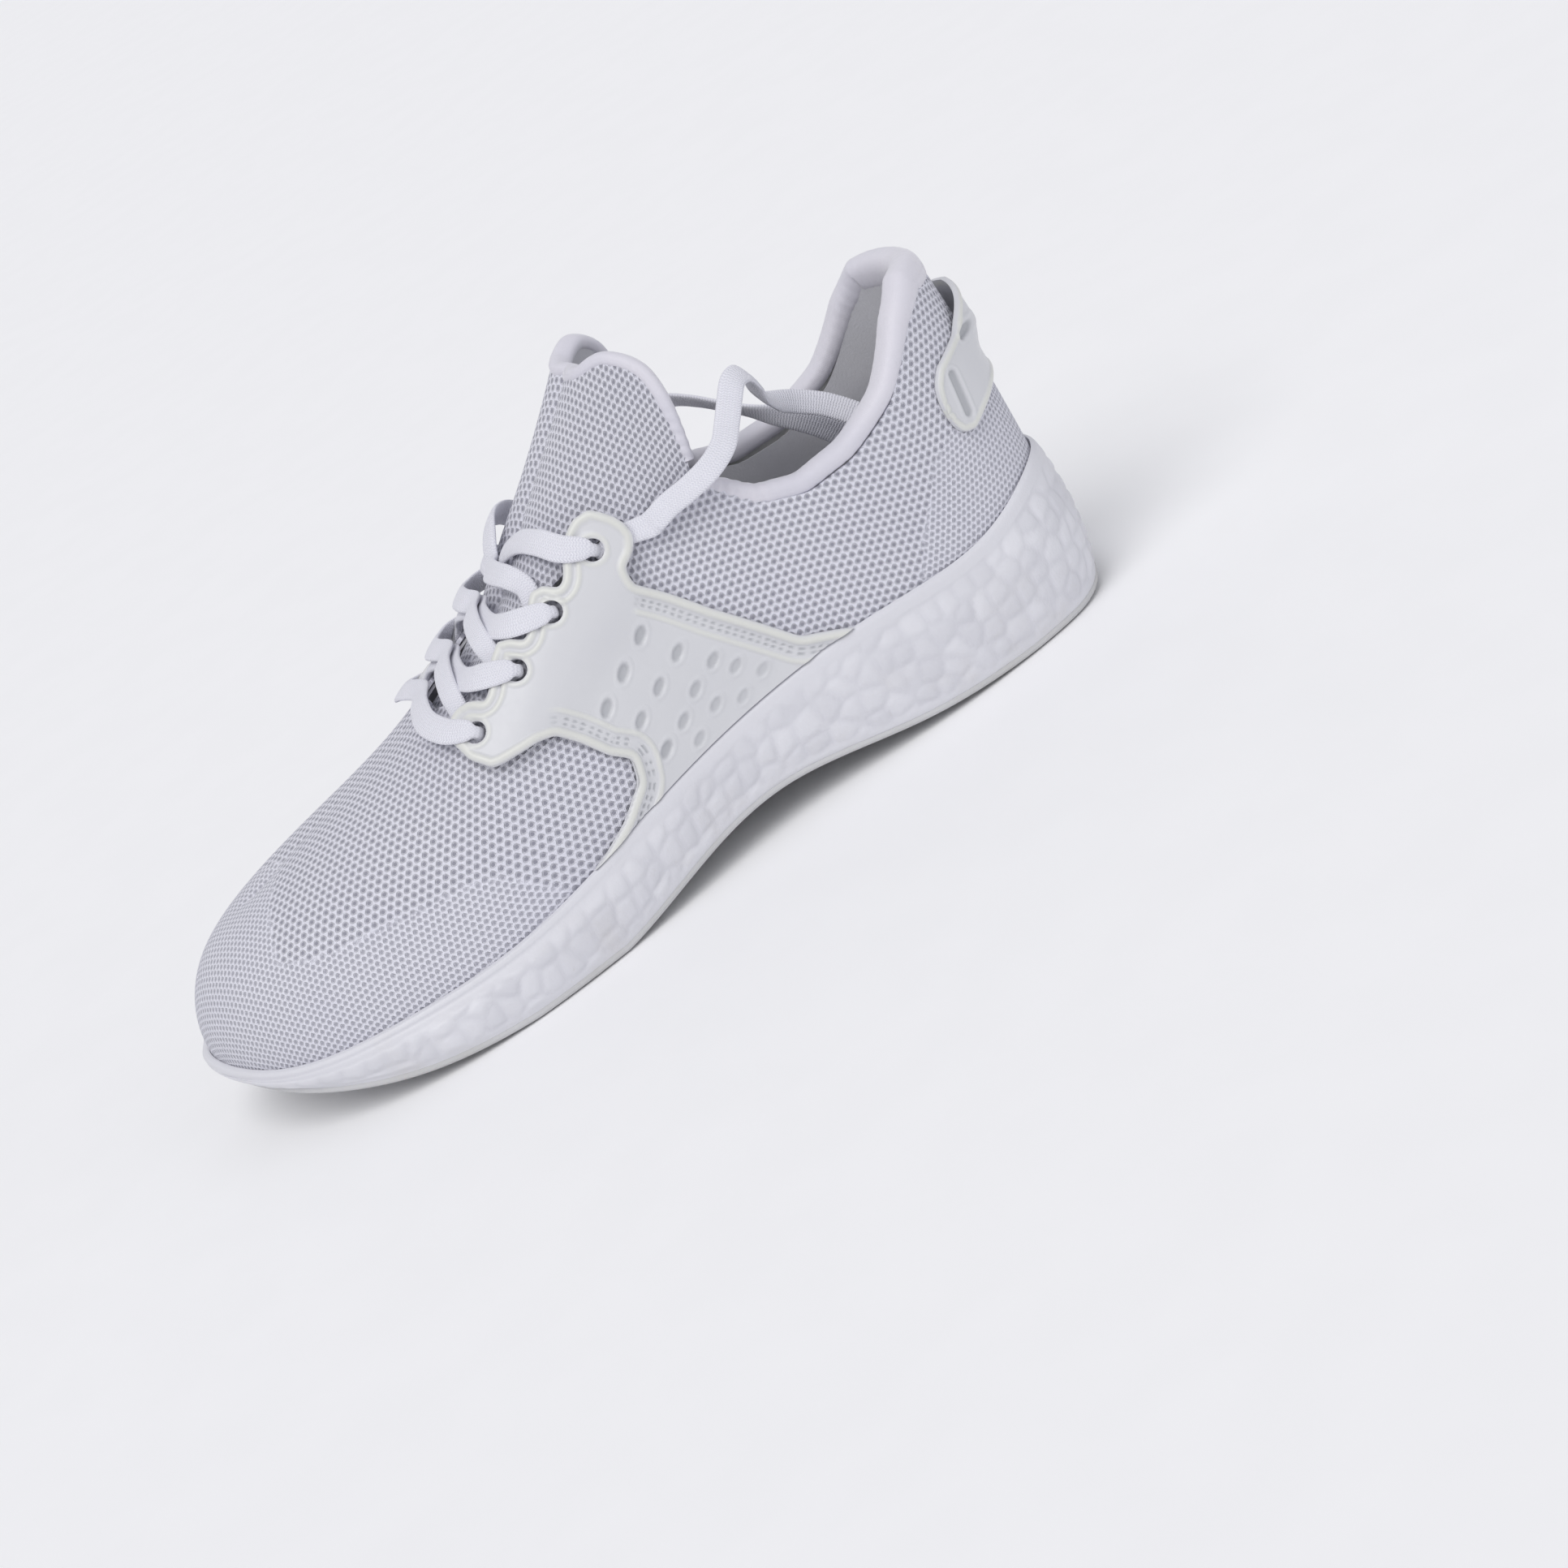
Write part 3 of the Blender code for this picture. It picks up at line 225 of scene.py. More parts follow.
def rounded(points, blur=1.5, n=500):
    """Outline resampled evenly in millimetres, its corners rounded by a bell-shaped average."""
    p = np.array(points, float)
    scale = np.array([STATION_MM, 1.0])
    step = np.hypot(*(np.diff(p, axis=0) * scale).T)
    s = np.concatenate([[0], np.cumsum(step)])
    even = np.linspace(0, s[-1], n)
    line = np.stack([np.interp(even, s, p[:, 0]), np.interp(even, s, p[:, 1])], -1)
    reach = max(1, int(3 * blur / (s[-1] / n)))
    bell = np.exp(-0.5 * (np.arange(-reach, reach + 1) / (reach / 3.0)) ** 2)
    bell /= bell.sum()
    padded = np.vstack([2 * line[0] - line[reach:0:-1], line, 2 * line[-1] - line[-2:-reach - 2:-1]])
    return np.stack([np.convolve(padded[:, i], bell, "valid") for i in (0, 1)], -1)


def on_line(points, t, blur=1.5):
    """Point at fraction t along a rounded outline."""
    line = rounded(points, blur)
    even = np.linspace(0, 1, len(line))
    return np.stack([np.interp(t, even, line[:, 0]), np.interp(t, even, line[:, 1])], -1)


def height_on(points, k, blur=1.5):
    """Climb of a rounded outline at the station k."""
    line = rounded(points, blur)
    return np.interp(k, line[:, 0], line[:, 1])


def coons(bottom, top, left, right, nu, nv, blur=1.5):
    """Grid between four outlines: the sum of both ruled surfaces less the one through the corners."""
    u, v = np.linspace(0, 1, nu), np.linspace(0, 1, nv)
    b, t, l, r = (on_line(line, w, blur) for line, w in ((bottom, u), (top, u), (left, v), (right, v)))
    uu, vv = u[:, None, None], v[None, :, None]
    return ((1 - vv) * b[:, None] + vv * t[:, None] + (1 - uu) * l[None] + uu * r[None]
            - (1 - uu) * (1 - vv) * b[0] - uu * (1 - vv) * b[-1]
            - (1 - uu) * vv * t[0] - uu * vv * t[-1])


def upper_top(k):
    """Climb of the upper's edge: the collar topline, then the throat."""
    return np.where(np.asarray(k) < 3.5, height_on(TOPLINE, k), height_on(THROAT, k, 0.8))


def collar_top(k):
    """Edge of the knit and the lining, a little below the topline and under the binding."""
    return upper_top(k) - BINDING_STEP * (1 - smooth_step(k, 3.3, 3.7))


def run_length(points, axis):
    """Distance run along one axis of a grid of points, starting from 0."""
    step = np.linalg.norm(np.diff(points, axis=axis), axis=-1)
    start = np.zeros_like(np.take(step, [0], axis))
    return np.cumsum(np.concatenate([start, step], axis), axis)


def from_table(table, x, y):
    """Linear look-up in a table, at row x and column y counted in cells."""
    x, y = np.clip(x, 0, table.shape[0] - 1.001), np.clip(y, 0, table.shape[1] - 1.001)
    i, c = x.astype(int), y.astype(int)
    fx, fy = x - i, y - c
    return ((table[i, c] * (1 - fx) + table[i + 1, c] * fx) * (1 - fy)
            + (table[i, c + 1] * (1 - fx) + table[i + 1, c + 1] * fx) * fy)


TABLE_J, TABLE_C = np.meshgrid(np.arange(0, 20.01, TABLE_STEP), np.arange(0, 90.5, 1.0), indexing="ij")
TABLE_LENGTH = run_length(last_surface(TABLE_J, TABLE_C), 1)
RIDGE_RUN = run_length(last_surface(TABLE_J[:201, 0], np.full(201, 90.0))[None], 1)[0]
SIDE_RUN = run_length(last_surface(TABLE_J[:201, 0], np.full(201, 12.0))[None], 1)[0]


def draped_cloth(j, climb):
    """Flat cloth over the forefoot, in millimetres: each rib of the last is laid flat from its
    ridge point, in the direction it sets off in, at its true length."""
    k = np.minimum(j, 20 - j)
    ring = ring_spline(RING, j)
    way = ring[..., :2] - ring[..., 3:5]
    way = way / np.linalg.norm(way, axis=-1, keepdims=True)
    total = from_table(TABLE_LENGTH, j / TABLE_STEP, np.full_like(climb, 89.99))
    run = total - from_table(TABLE_LENGTH, j / TABLE_STEP, climb)
    return np.stack([np.interp(k, TABLE_J[:201, 0], RIDGE_RUN) + run * way[..., 0], run * way[..., 1]], -1)


def wrapped_cloth(j, climb):
    """Flat cloth round the side and the heel: distance round the ring by height up the wall."""
    k = np.minimum(j % 20, 20 - j % 20)
    up = from_table(TABLE_LENGTH, (j % 20) / TABLE_STEP, climb)
    return np.stack([np.interp(k, TABLE_J[:201, 0], SIDE_RUN), up], -1)


# ==== meshes =================================================================================

def grid_quads(nu, nv, wrap=False):
    """Quads of a grid of points stored row by row; wrap joins the last row to the first."""
    i = np.arange(nu if wrap else nu - 1)[:, None]
    c = np.arange(nv - 1)[None, :]
    a, b = i * nv + c, ((i + 1) % nu) * nv + c
    return np.stack([a, b, b + 1, a + 1], -1).reshape(-1, 4)


def make_piece(name, points, quads, materials, cloth=None, marks=None, slots=None, sharp=40.0):
    """Mesh object from arrays: equal points are merged, the faces are turned outwards by the sign
    of the enclosed volume, and cloth coordinates and marks are kept per point."""
    points = np.asarray(points, float)
    key = np.round(points * 1e6 + 0.137).astype(np.int64)
    _, first, back = np.unique(key, axis=0, return_index=True, return_inverse=True)
    faces = back.ravel()[quads]
    source = np.asarray(quads)
    good = (np.diff(np.sort(faces, axis=1), axis=1) > 0).all(1)
    thin = faces[~good]
    polygons = faces[good].tolist()
    corner = source[good].ravel().tolist()
    keep = list(np.flatnonzero(good))
    for f, src, n in zip(thin.tolist(), source[~good].tolist(), np.flatnonzero(~good)):
        ids = [i for i in range(4) if f[i] != f[i - 1]]
        if len({f[i] for i in ids}) == 3:
            polygons.append([f[i] for i in ids])
            corner += [src[i] for i in ids]
            keep.append(n)
    p = points[first]
    tri = np.array([(f[0], f[1], f[2]) for f in polygons]
                   + [(f[0], f[2], f[3]) for f in polygons if len(f) > 3])
    volume = np.einsum("ij,ij->i", p[tri[:, 0]], np.cross(p[tri[:, 1]], p[tri[:, 2]])).sum()
    mesh = bpy.data.meshes.new(name)
    mesh.from_pydata(p, [], polygons)
    if cloth is not None:
        layer = mesh.uv_layers.new(name="cloth")
        layer.data.foreach_set("uv", np.asarray(cloth)[corner].astype(np.float32).ravel())
    for word, values in (marks or {}).items():
        mesh.attributes.new(word, "FLOAT", "POINT").data.foreach_set(
            "value", np.asarray(values, np.float32).ravel()[first])
    for material in materials:
        mesh.materials.append(material)
    if slots is not None:
        mesh.polygons.foreach_set("material_index", np.asarray(slots)[keep].astype(np.int32))
    mesh.polygons.foreach_set("use_smooth", np.ones(len(polygons), bool))
    if volume < 0:
        mesh.flip_normals()
    mesh.set_sharp_from_angle(angle=math.radians(sharp))
    mesh.update()
    obj = bpy.data.objects.new(name, mesh)
    bpy.context.scene.collection.objects.link(obj)
    return obj


def shell_arrays(outer, inner, quads):
    """Two skins and a wall round every free edge, from matching point arrays and their quads."""
    n = len(outer)
    key = np.round(outer * 1e6 + 0.137).astype(np.int64)
    _, back = np.unique(key, axis=0, return_inverse=True)
    merged = back.ravel()[quads]
    start, end = merged.ravel(), np.roll(merged, -1, 1).ravel()
    real_start, real_end = quads.ravel(), np.roll(quads, -1, 1).ravel()
    edge = np.minimum(start, end) * (n + 1) + np.maximum(start, end)
    _, inverse, count = np.unique(edge, return_inverse=True, return_counts=True)
    free = (count[inverse.ravel()] == 1) & (start != end)
    a, b = real_start[free], real_end[free]
    wall = np.stack([b, a, a + n, b + n], -1)
    return np.vstack([outer, inner]), np.vstack([quads, quads[:, ::-1] + n, wall])


def shell(name, outer, inner, quads, materials, cloth=None, marks=None, inner_slot=0, sharp=40.0):
    """Closed sheet between an outer and an inner skin given on the same grid."""
    outer, inner = outer.reshape(-1, 3), inner.reshape(-1, 3)
    points, faces = shell_arrays(outer, inner, quads)
    slots = np.zeros(len(faces), int)
    slots[len(quads):2 * len(quads)] = inner_slot
    if cloth is not None:
        cloth = np.tile(cloth.reshape(-1, 2), (2, 1))
    if marks:
        marks = {word: np.tile(np.asarray(v, float).ravel(), 2) for word, v in marks.items()}
    return make_piece(name, points, faces, materials, cloth, marks, slots, sharp)


def follow(points, steps):
    """Catmull-Rom curve through a row of points or of whole curves."""
    p = np.asarray(points, float)
    p = np.concatenate([2 * p[:1] - p[1:2], p, 2 * p[-1:] - p[-2:-1]])
    t = (np.arange(steps) / steps).reshape((-1,) + (1,) * (p.ndim - 1))
    pieces = [0.5 * (2 * b + (c - a) * t + (2 * a - 5 * b + 4 * c - d) * t ** 2
                     + (3 * b - a - 3 * c + d) * t ** 3)
              for a, b, c, d in zip(p[:-3], p[1:-2], p[2:-1], p[3:])]
    return np.concatenate(pieces + [p[-2:-1]])


def near_line(points, line):
    """Distance of every grid point to a line of points in millimetres, and how far along it."""
    line = np.asarray(line)
    run = run_length(line[None], 1)[0]
    shape = points.shape[:-1]
    flat = points.reshape(-1, 3)
    far, place = np.empty(len(flat)), np.empty(len(flat))
    for part in np.array_split(np.arange(len(flat)), max(1, len(flat) // 4000)):
        d = np.linalg.norm(flat[part, None] - line[None], axis=-1)
        best = d.argmin(1)
        far[part], place[part] = d[np.arange(len(part)), best], run[best]
    return far.reshape(shape), place.reshape(shape)


def ridge_of(distance, centre, half):
    """Rounded ridge across a distance: 1 at the centre, 0 beyond the half width."""
    return np.clip(1 - ((distance - centre) / half) ** 2, 0, 1)


# ==== materials ===============================================================================

def node(tree, kind, inputs=(), out=0, **settings):
    """Adds a shader node, links or sets its inputs in order, and returns its chosen output."""
    n = tree.nodes.new("ShaderNode" + kind)
    for word, value in settings.items():
        setattr(n, word, value)
    pairs = inputs.items() if isinstance(inputs, dict) else enumerate(inputs)
    for word, value in pairs:
        if value is None:
            continue
        if isinstance(value, bpy.types.NodeSocket):
            tree.links.new(value, n.inputs[word])
        else:
            n.inputs[word].default_value = value
    return n.outputs[out]


def maths(tree, operation, a, b=None):
    """One Math node; b is left out where the operation takes a single value."""
    return node(tree, "Math", (a, b), operation=operation)


def ramp(tree, value, low, high, to_low=0.0, to_high=1.0):
    """Smooth step of a value from low to high, mapped to a new range."""
    return node(tree, "MapRange", (value, low, high, to_low, to_high), interpolation_type="SMOOTHSTEP")


def blend_color(tree, factor, a, b):
    """Colour a where the factor is 0, b where it is 1."""
    return node(tree, "Mix", {0: factor, 6: a, 7: b}, out=2, data_type="RGBA", blend_type="MIX")


def effect(name, inputs, outputs):
    """New shader node group with named inputs (with defaults) and outputs."""
    group = bpy.data.node_groups.new(name, "ShaderNodeTree")
    for word, kind, value in inputs:
        socket = group.interface.new_socket(word, in_out="INPUT", socket_type="NodeSocket" + kind)
        if value is not None:
            socket.default_value = value
    for word, kind in outputs:
        group.interface.new_socket(word, in_out="OUTPUT", socket_type="NodeSocket" + kind)
    return group, group.nodes.new("NodeGroupInput").outputs, group.nodes.new("NodeGroupOutput").inputs


def use(tree, group, **values):
    """Places a node group in a material and returns its outputs."""
    n = tree.nodes.new("ShaderNodeGroup")
    n.node_tree = bpy.data.node_groups[group]
    for word, value in values.items():
        socket = n.inputs[word.replace("_", " ")]
        if isinstance(value, bpy.types.NodeSocket):
            tree.links.new(value, socket)
        else:
            socket.default_value = value
    return n.outputs


def make_effects():
    """The patterns that several finishes share: open knit, fabric grain, woven tape and soiling."""
    t, i, o = effect("Open knit", (("Vector", "Vector", None), ("Spacing", "Float", 2.4),
                                   ("Turn", "Float", 0.3), ("Corner", "Float", 0.35)),
                     (("Hole", "Float"), ("Height", "Float"), ("Strand", "Float")))
    turned = node(t, "VectorRotate", {"Vector": i[0], "Angle": i[2]}, rotation_type="Z_AXIS")
    xyz = turned.node
    part = t.nodes.new("ShaderNodeSeparateXYZ")
    t.links.new(xyz.outputs[0], part.inputs[0])
    x, y = part.outputs[0], part.outputs[1]
    wave = maths(t, "DIVIDE", 4 * math.pi / math.sqrt(3), i[1])
    total = None
    for cx, cy in ((0.0, 1.0), (-0.8660254, -0.5), (0.8660254, -0.5)):
        run = maths(t, "ADD", maths(t, "MULTIPLY", x, cx), maths(t, "MULTIPLY", y, cy))
        crest = maths(t, "COSINE", maths(t, "ADD", maths(t, "MULTIPLY", run, wave), i[3]))
        total = crest if total is None else maths(t, "ADD", total, crest)
    t.links.new(ramp(t, total, 0.95, 1.55), o[0])
    # ply stripes of the yarn; the third output carries them as painted highlight and painted shade on the
    # knit's colour
    ply = maths(t, "SINE", maths(t, "MULTIPLY", maths(t, "ADD", x, maths(t, "MULTIPLY", y, 1.7)),
                                 maths(t, "MULTIPLY", wave, 3.0)))
    t.links.new(ramp(t, ply, -1.0, 1.0), o[2])
    body = ramp(t, total, -1.2, 1.5, 1.0, 0.0)
    t.links.new(maths(t, "ADD", body, maths(t, "MULTIPLY", ply, 0.05)), o[1])

    t, i, o = effect("Fabric grain", (("Vector", "Vector", None), ("Scale", "Float", 900.0)),
                     (("Value", "Float"), ("Height", "Float")))
    fine = node(t, "TexNoise", {"Vector": i[0], "Scale": i[1], "Detail": 3.0}, out=0)
    broad = node(t, "TexNoise", {"Vector": i[0], "Scale": 35.0, "Detail": 2.0}, out=0)
    t.links.new(broad, o[0])
    t.links.new(fine, o[1])

    t, i, o = effect("Woven tape", (("Vector", "Vector", None), ("Thread", "Float", 0.55)),
                     (("Height", "Float"), ("Shade", "Float")))
    part = t.nodes.new("ShaderNodeSeparateXYZ")
    t.links.new(i[0], part.inputs[0])
    step = maths(t, "DIVIDE", 2 * math.pi, i[1])
    along = maths(t, "MULTIPLY", part.outputs[0], step)
    across = maths(t, "MULTIPLY", part.outputs[1], step)
    bent = maths(t, "ADD", along, maths(t, "MULTIPLY", maths(t, "PINGPONG", across, 2 * math.pi), 0.8))
    rib = maths(t, "SINE", bent)
    t.links.new(maths(t, "MULTIPLY", rib, maths(t, "COSINE", maths(t, "MULTIPLY", across, 0.5))), o[0])
    # the Shade output is the rib itself, used as painted highlight and painted shade on the lace
    t.links.new(ramp(t, rib, -1.0, 1.0), o[1])

    t, i, o = effect("Soft soiling", (("Vector", "Vector", None), ("Top", "Float", 0.03)),
                     (("Mask", "Float"),))
    part = t.nodes.new("ShaderNodeSeparateXYZ")
    t.links.new(i[0], part.inputs[0])
    low = node(t, "MapRange", (part.outputs[2], 0.0, i[1], 1.0, 0.0))
    cloud = node(t, "TexNoise", {"Vector": i[0], "Scale": 60.0, "Detail": 5.0, "Roughness": 0.65}, out=0)
    speck = node(t, "TexNoise", {"Vector": i[0], "Scale": 700.0, "Detail": 2.0}, out=0)
    spots = maths(t, "MULTIPLY", ramp(t, speck, 0.66, 0.74), 0.5)
    t.links.new(maths(t, "MINIMUM", maths(t, "ADD", maths(t, "MULTIPLY", low, ramp(t, cloud, 0.45, 0.8)),
                                          maths(t, "MULTIPLY", spots, low)), 1.0), o[0])


def finish(name, color, roughness, sheen=0.0, coat=0.0, specular=0.5):
    """New material: its shader with constants set on its own sockets, and its node tree."""
    mat = bpy.data.materials.new(name)
    mat.use_nodes = True
    tree = mat.node_tree
    shader = tree.nodes["Principled BSDF"]
    values = {"Base Color": (*color, 1), "Roughness": roughness, "Sheen Weight": sheen,
              "Sheen Roughness": 0.45, "Coat Weight": coat, "Coat Roughness": 0.25,
              "Specular IOR Level": specular}
    for word, value in values.items():
        shader.inputs[word].default_value = value
    mat.diffuse_color = (*color, 1)
    return mat, tree, shader


def mark(tree, word):
    """Value of a per-point mark of the mesh."""
    return node(tree, "Attribute", (), out=2, attribute_name=word)


def raise_surface(tree, shader, height, strength, distance):
    """Fine relief from a height, into the shader's normal."""
    tree.links.new(node(tree, "Bump", {"Strength": strength, "Distance": distance, "Height": height}),
                   shader.inputs["Normal"])


def tint(color, factor):
    """Colour times a factor for each channel, at most 1."""
    return (*[min(1.0, c * f) for c, f in zip(color, factor)], 1)


def knit_finish(look):
    """Knitted upper: open holes in staggered rows, closer and shallower where it is marked fine; the holes
    are coloured dark as painted shade for the shaded inside seen through them.
    """
    color = look.knit_color
    mat, t, shader = finish("knit", color, 0.82, sheen=0.25, specular=0.25)
    place = node(t, "UVMap", uv_map="cloth")
    own = node(t, "TexCoord", out=3)
    fine = mark(t, "fine")
    wide = use(t, "Open knit", Vector=place, Spacing=look.knit_spacing, Turn=-0.3)
    close = use(t, "Open knit", Vector=place, Spacing=look.knit_spacing * 0.8, Turn=-0.1)
    grain = use(t, "Fabric grain", Vector=own, Scale=1500.0)
    hole = node(t, "Mix", {0: fine, 2: wide[0], 3: maths(t, "MULTIPLY", close[0], 0.8)})
    strand = node(t, "Mix", {0: fine, 2: wide[2], 3: close[2]})
    height = node(t, "Mix", {0: fine, 2: wide[1], 3: maths(t, "MULTIPLY", close[1], 0.75)})
    # painted highlight and painted shade: the yarn is coloured lighter on the crests of its ply and darker
    # between them
    yarn = blend_color(t, strand, tint(color, (0.93, 0.93, 0.94)), tint(color, (1.08, 1.08, 1.07)))
    yarn = blend_color(t, ramp(t, grain[0], 0.3, 0.7, 0.0, 0.25), yarn, tint(color, (0.93, 0.93, 0.97)))
    # painted shade: the holes get a dark colour that stands in for the shaded inside of the shoe seen
    # through them
    dark = tint(color, (0.24, 0.24, 0.28))
    t.links.new(blend_color(t, maths(t, "MULTIPLY", hole, look.hole_shade), yarn, dark),
                shader.inputs["Base Color"])
    raise_surface(t, shader, maths(t, "ADD", height, maths(t, "MULTIPLY", grain[1], 0.15)), 0.9, 0.0009)
    return mat


def cloth_finish(name, color, scale=1600.0, strength=0.35, sheen=0.35, roughness=0.85):
    """Close plain fabric: a fine grain and a faint cloudiness."""
    mat, t, shader = finish(name, color, roughness, sheen=sheen, specular=0.3)
    own = node(t, "TexCoord", out=3)
    grain = use(t, "Fabric grain", Vector=own, Scale=scale)
    base = blend_color(t, ramp(t, grain[0], 0.3, 0.7), tint(color, (0.95, 0.95, 0.97)),
                       tint(color, (1.03, 1.03, 1.02)))
    t.links.new(base, shader.inputs["Base Color"])
    raise_surface(t, shader, grain[1], strength, 0.0003)
    return mat


def satin_finish(look):
    """Smooth stretch tape: soft sheen, hair-fine cross ribs along the cloth coordinates."""
    mat, t, shader = finish("satin tape", look.binding_color, 0.5, sheen=0.4, specular=0.4)
    place = node(t, "UVMap", uv_map="cloth")
    own = node(t, "TexCoord", out=3)
    tape = use(t, "Woven tape", Vector=place, Thread=0.45)
    grain = use(t, "Fabric grain", Vector=own, Scale=700.0)
    base = blend_color(t, ramp(t, grain[0], 0.3, 0.7), tint(look.binding_color, (0.95, 0.95, 0.97)),
                       tint(look.binding_color, (1.03, 1.02, 1.02)))
    t.links.new(base, shader.inputs["Base Color"])
    t.links.new(ramp(t, grain[1], 0.3, 0.7, 0.45, 0.6), shader.inputs["Roughness"])
    raise_surface(t, shader, maths(t, "ADD", maths(t, "MULTIPLY", tape[0], 0.3), grain[1]), 0.25, 0.00025)
    return mat


def foam_finish(look):
    """Beaded foam: every bead has its own faint tone, the grooves are painted darker as painted shade,
    and the lower edge is slightly soiled."""
    color = look.foam_color
    mat, t, shader = finish("beaded foam", color, 0.5, coat=0.08)
    own = node(t, "TexCoord", out=3)
    grain = use(t, "Fabric grain", Vector=own, Scale=900.0)
    soil = use(t, "Soft soiling", Vector=own, Top=0.03)
    base = blend_color(t, mark(t, "bead_shade"), tint(color, (0.93, 0.93, 0.94)),
                       tint(color, (1.04, 1.04, 1.04)))
    # painted shade: a darker colour in the grooves between the beads
    base = blend_color(t, mark(t, "groove_shade"), base, tint(color, (0.86, 0.86, 0.88)))
    base = blend_color(t, maths(t, "MULTIPLY", soil[0], look.soiling), base, (0.50, 0.45, 0.37, 1))
    t.links.new(base, shader.inputs["Base Color"])
    t.links.new(ramp(t, grain[0], 0.3, 0.7, 0.42, 0.58), shader.inputs["Roughness"])
    raise_surface(t, shader, grain[1], 0.25, 0.0003)
    return mat


def rubber_finish(look):
    """Matt pale rubber with fine grit, and soiling towards the ground."""
    color = look.rubber_color
    mat, t, shader = finish("pale rubber", color, 0.62, specular=0.4)
    own = node(t, "TexCoord", out=3)
    grain = use(t, "Fabric grain", Vector=own, Scale=1300.0)
    soil = use(t, "Soft soiling", Vector=own, Top=0.012)
    base = blend_color(t, ramp(t, grain[0], 0.3, 0.7), tint(color, (0.94, 0.94, 0.93)), (*color, 1))
    base = blend_color(t, maths(t, "MULTIPLY", soil[0], look.soiling), base, (0.45, 0.41, 0.35, 1))
    t.links.new(base, shader.inputs["Base Color"])
    raise_surface(t, shader, grain[1], 0.4, 0.0004)
    return mat


def film_finish(look):
    """Moulded film: satin, a little creamy where it is thick, and painted greyer in the pressed-in places as
    painted shade.
    """
    color = look.film_color
    mat, t, shader = finish("moulded film", color, 0.36, coat=0.15, specular=0.45)
    own = node(t, "TexCoord", out=3)
    grain = use(t, "Fabric grain", Vector=own, Scale=450.0)
    base = blend_color(t, ramp(t, grain[0], 0.3, 0.7), tint(color, (0.975, 0.975, 0.98)), (*color, 1))
    base = blend_color(t, mark(t, "thick"), base, tint(color, (1.07, 1.07, 0.98)))
    # painted shade: the pressed-in places are coloured greyer
    base = blend_color(t, mark(t, "pressed"), base, tint(color, (0.70, 0.71, 0.72)))
    t.links.new(base, shader.inputs["Base Color"])
    t.links.new(ramp(t, grain[1], 0.25, 0.75, 0.3, 0.42), shader.inputs["Roughness"])
    raise_surface(t, shader, grain[1], 0.12, 0.0004)
    return mat


def lace_finish(look):
    """Flat braid: threads slant to both sides of the middle, along the cloth coordinates, coloured lighter
    on their crests and darker between them as painted highlight and painted shade.
    """
    color = look.lace_color
    mat, t, shader = finish("lace braid", color, 0.75, sheen=0.3, specular=0.3)
    place = node(t, "UVMap", uv_map="cloth")
    own = node(t, "TexCoord", out=3)
    tape = use(t, "Woven tape", Vector=place, Thread=0.8)
    grain = use(t, "Fabric grain", Vector=own, Scale=1800.0)
    # painted highlight and painted shade: lighter on the crests of the threads, darker between them
    base = blend_color(t, tape[1], tint(color, (0.93, 0.93, 0.95)), tint(color, (1.04, 1.04, 1.04)))
    t.links.new(base, shader.inputs["Base Color"])
    raise_surface(t, shader, maths(t, "ADD", tape[0], maths(t, "MULTIPLY", grain[1], 0.8)), 0.5, 0.0003)
    return mat


def plain_finish(name, color, roughness, scale=600.0, strength=0.3, coat=0.0):
    """Hidden or small pieces: a faint grain in colour and height."""
    mat, t, shader = finish(name, color, roughness, coat=coat)
    own = node(t, "TexCoord", out=3)
    grain = use(t, "Fabric grain", Vector=own, Scale=scale)
    t.links.new(blend_color(t, ramp(t, grain[0], 0.3, 0.7), tint(color, (0.93, 0.93, 0.93)), (*color, 1)),
                shader.inputs["Base Color"])
    raise_surface(t, shader, grain[1], strength, 0.0004)
    return mat


FINISHES = {}


def make_finishes(look):
    """All materials, kept by name in FINISHES."""
    make_effects()
    FINISHES.update({
        "knit": knit_finish(look), "satin": satin_finish(look), "foam": foam_finish(look),
        "rubber": rubber_finish(look), "film": film_finish(look), "lace": lace_finish(look),
        "lining": cloth_finish("lining jersey", (0.60, 0.60, 0.63)),
        "insole": cloth_finish("sock liner", (0.50, 0.50, 0.53), 1200.0, 0.5),
        "board": plain_finish("strobel board", (0.62, 0.60, 0.55), 0.95, 800.0, 0.5),
        "stiffener": plain_finish("stiffener", (0.55, 0.55, 0.52), 0.6),
        "pad": plain_finish("open-cell foam", (0.66, 0.66, 0.64), 0.95, 1500.0, 0.8),
        "aglet": plain_finish("aglet tube", (0.72, 0.72, 0.73), 0.25, 300.0, 0.1, coat=0.5),
    })


# ==== sole =====================================================================================

def sole_ring(j, offset, height):
    """Closed curve round the sole: the feather outline pushed out by offset, at a height."""
    p = skin(j, np.zeros_like(j), offset)
    p[:, 2] = np.asarray(height) * MM
    return p


def bumper_climb(j):
    """Climb of the sole's rim: a low lip that rises to the toe bumper on the medial side."""
    low, high = BUMPER_SPAN
    rise = smooth_step(j, low, low + 0.9) * (1 - smooth_step(j, high - 0.9, high))
    return RIM_LIP + (BUMPER_CLIMB - RIM_LIP) * rise


def across_ring(ring, count):
    """Grid from the lateral half of a closed ring straight across to its medial half."""
    n = len(ring) // 2 + 1
    other = ring[(-np.arange(n)) % len(ring)]
    w = np.linspace(0, 1, count)[None, :, None]
    return ring[:n, None] * (1 - w) + other[:, None] * w


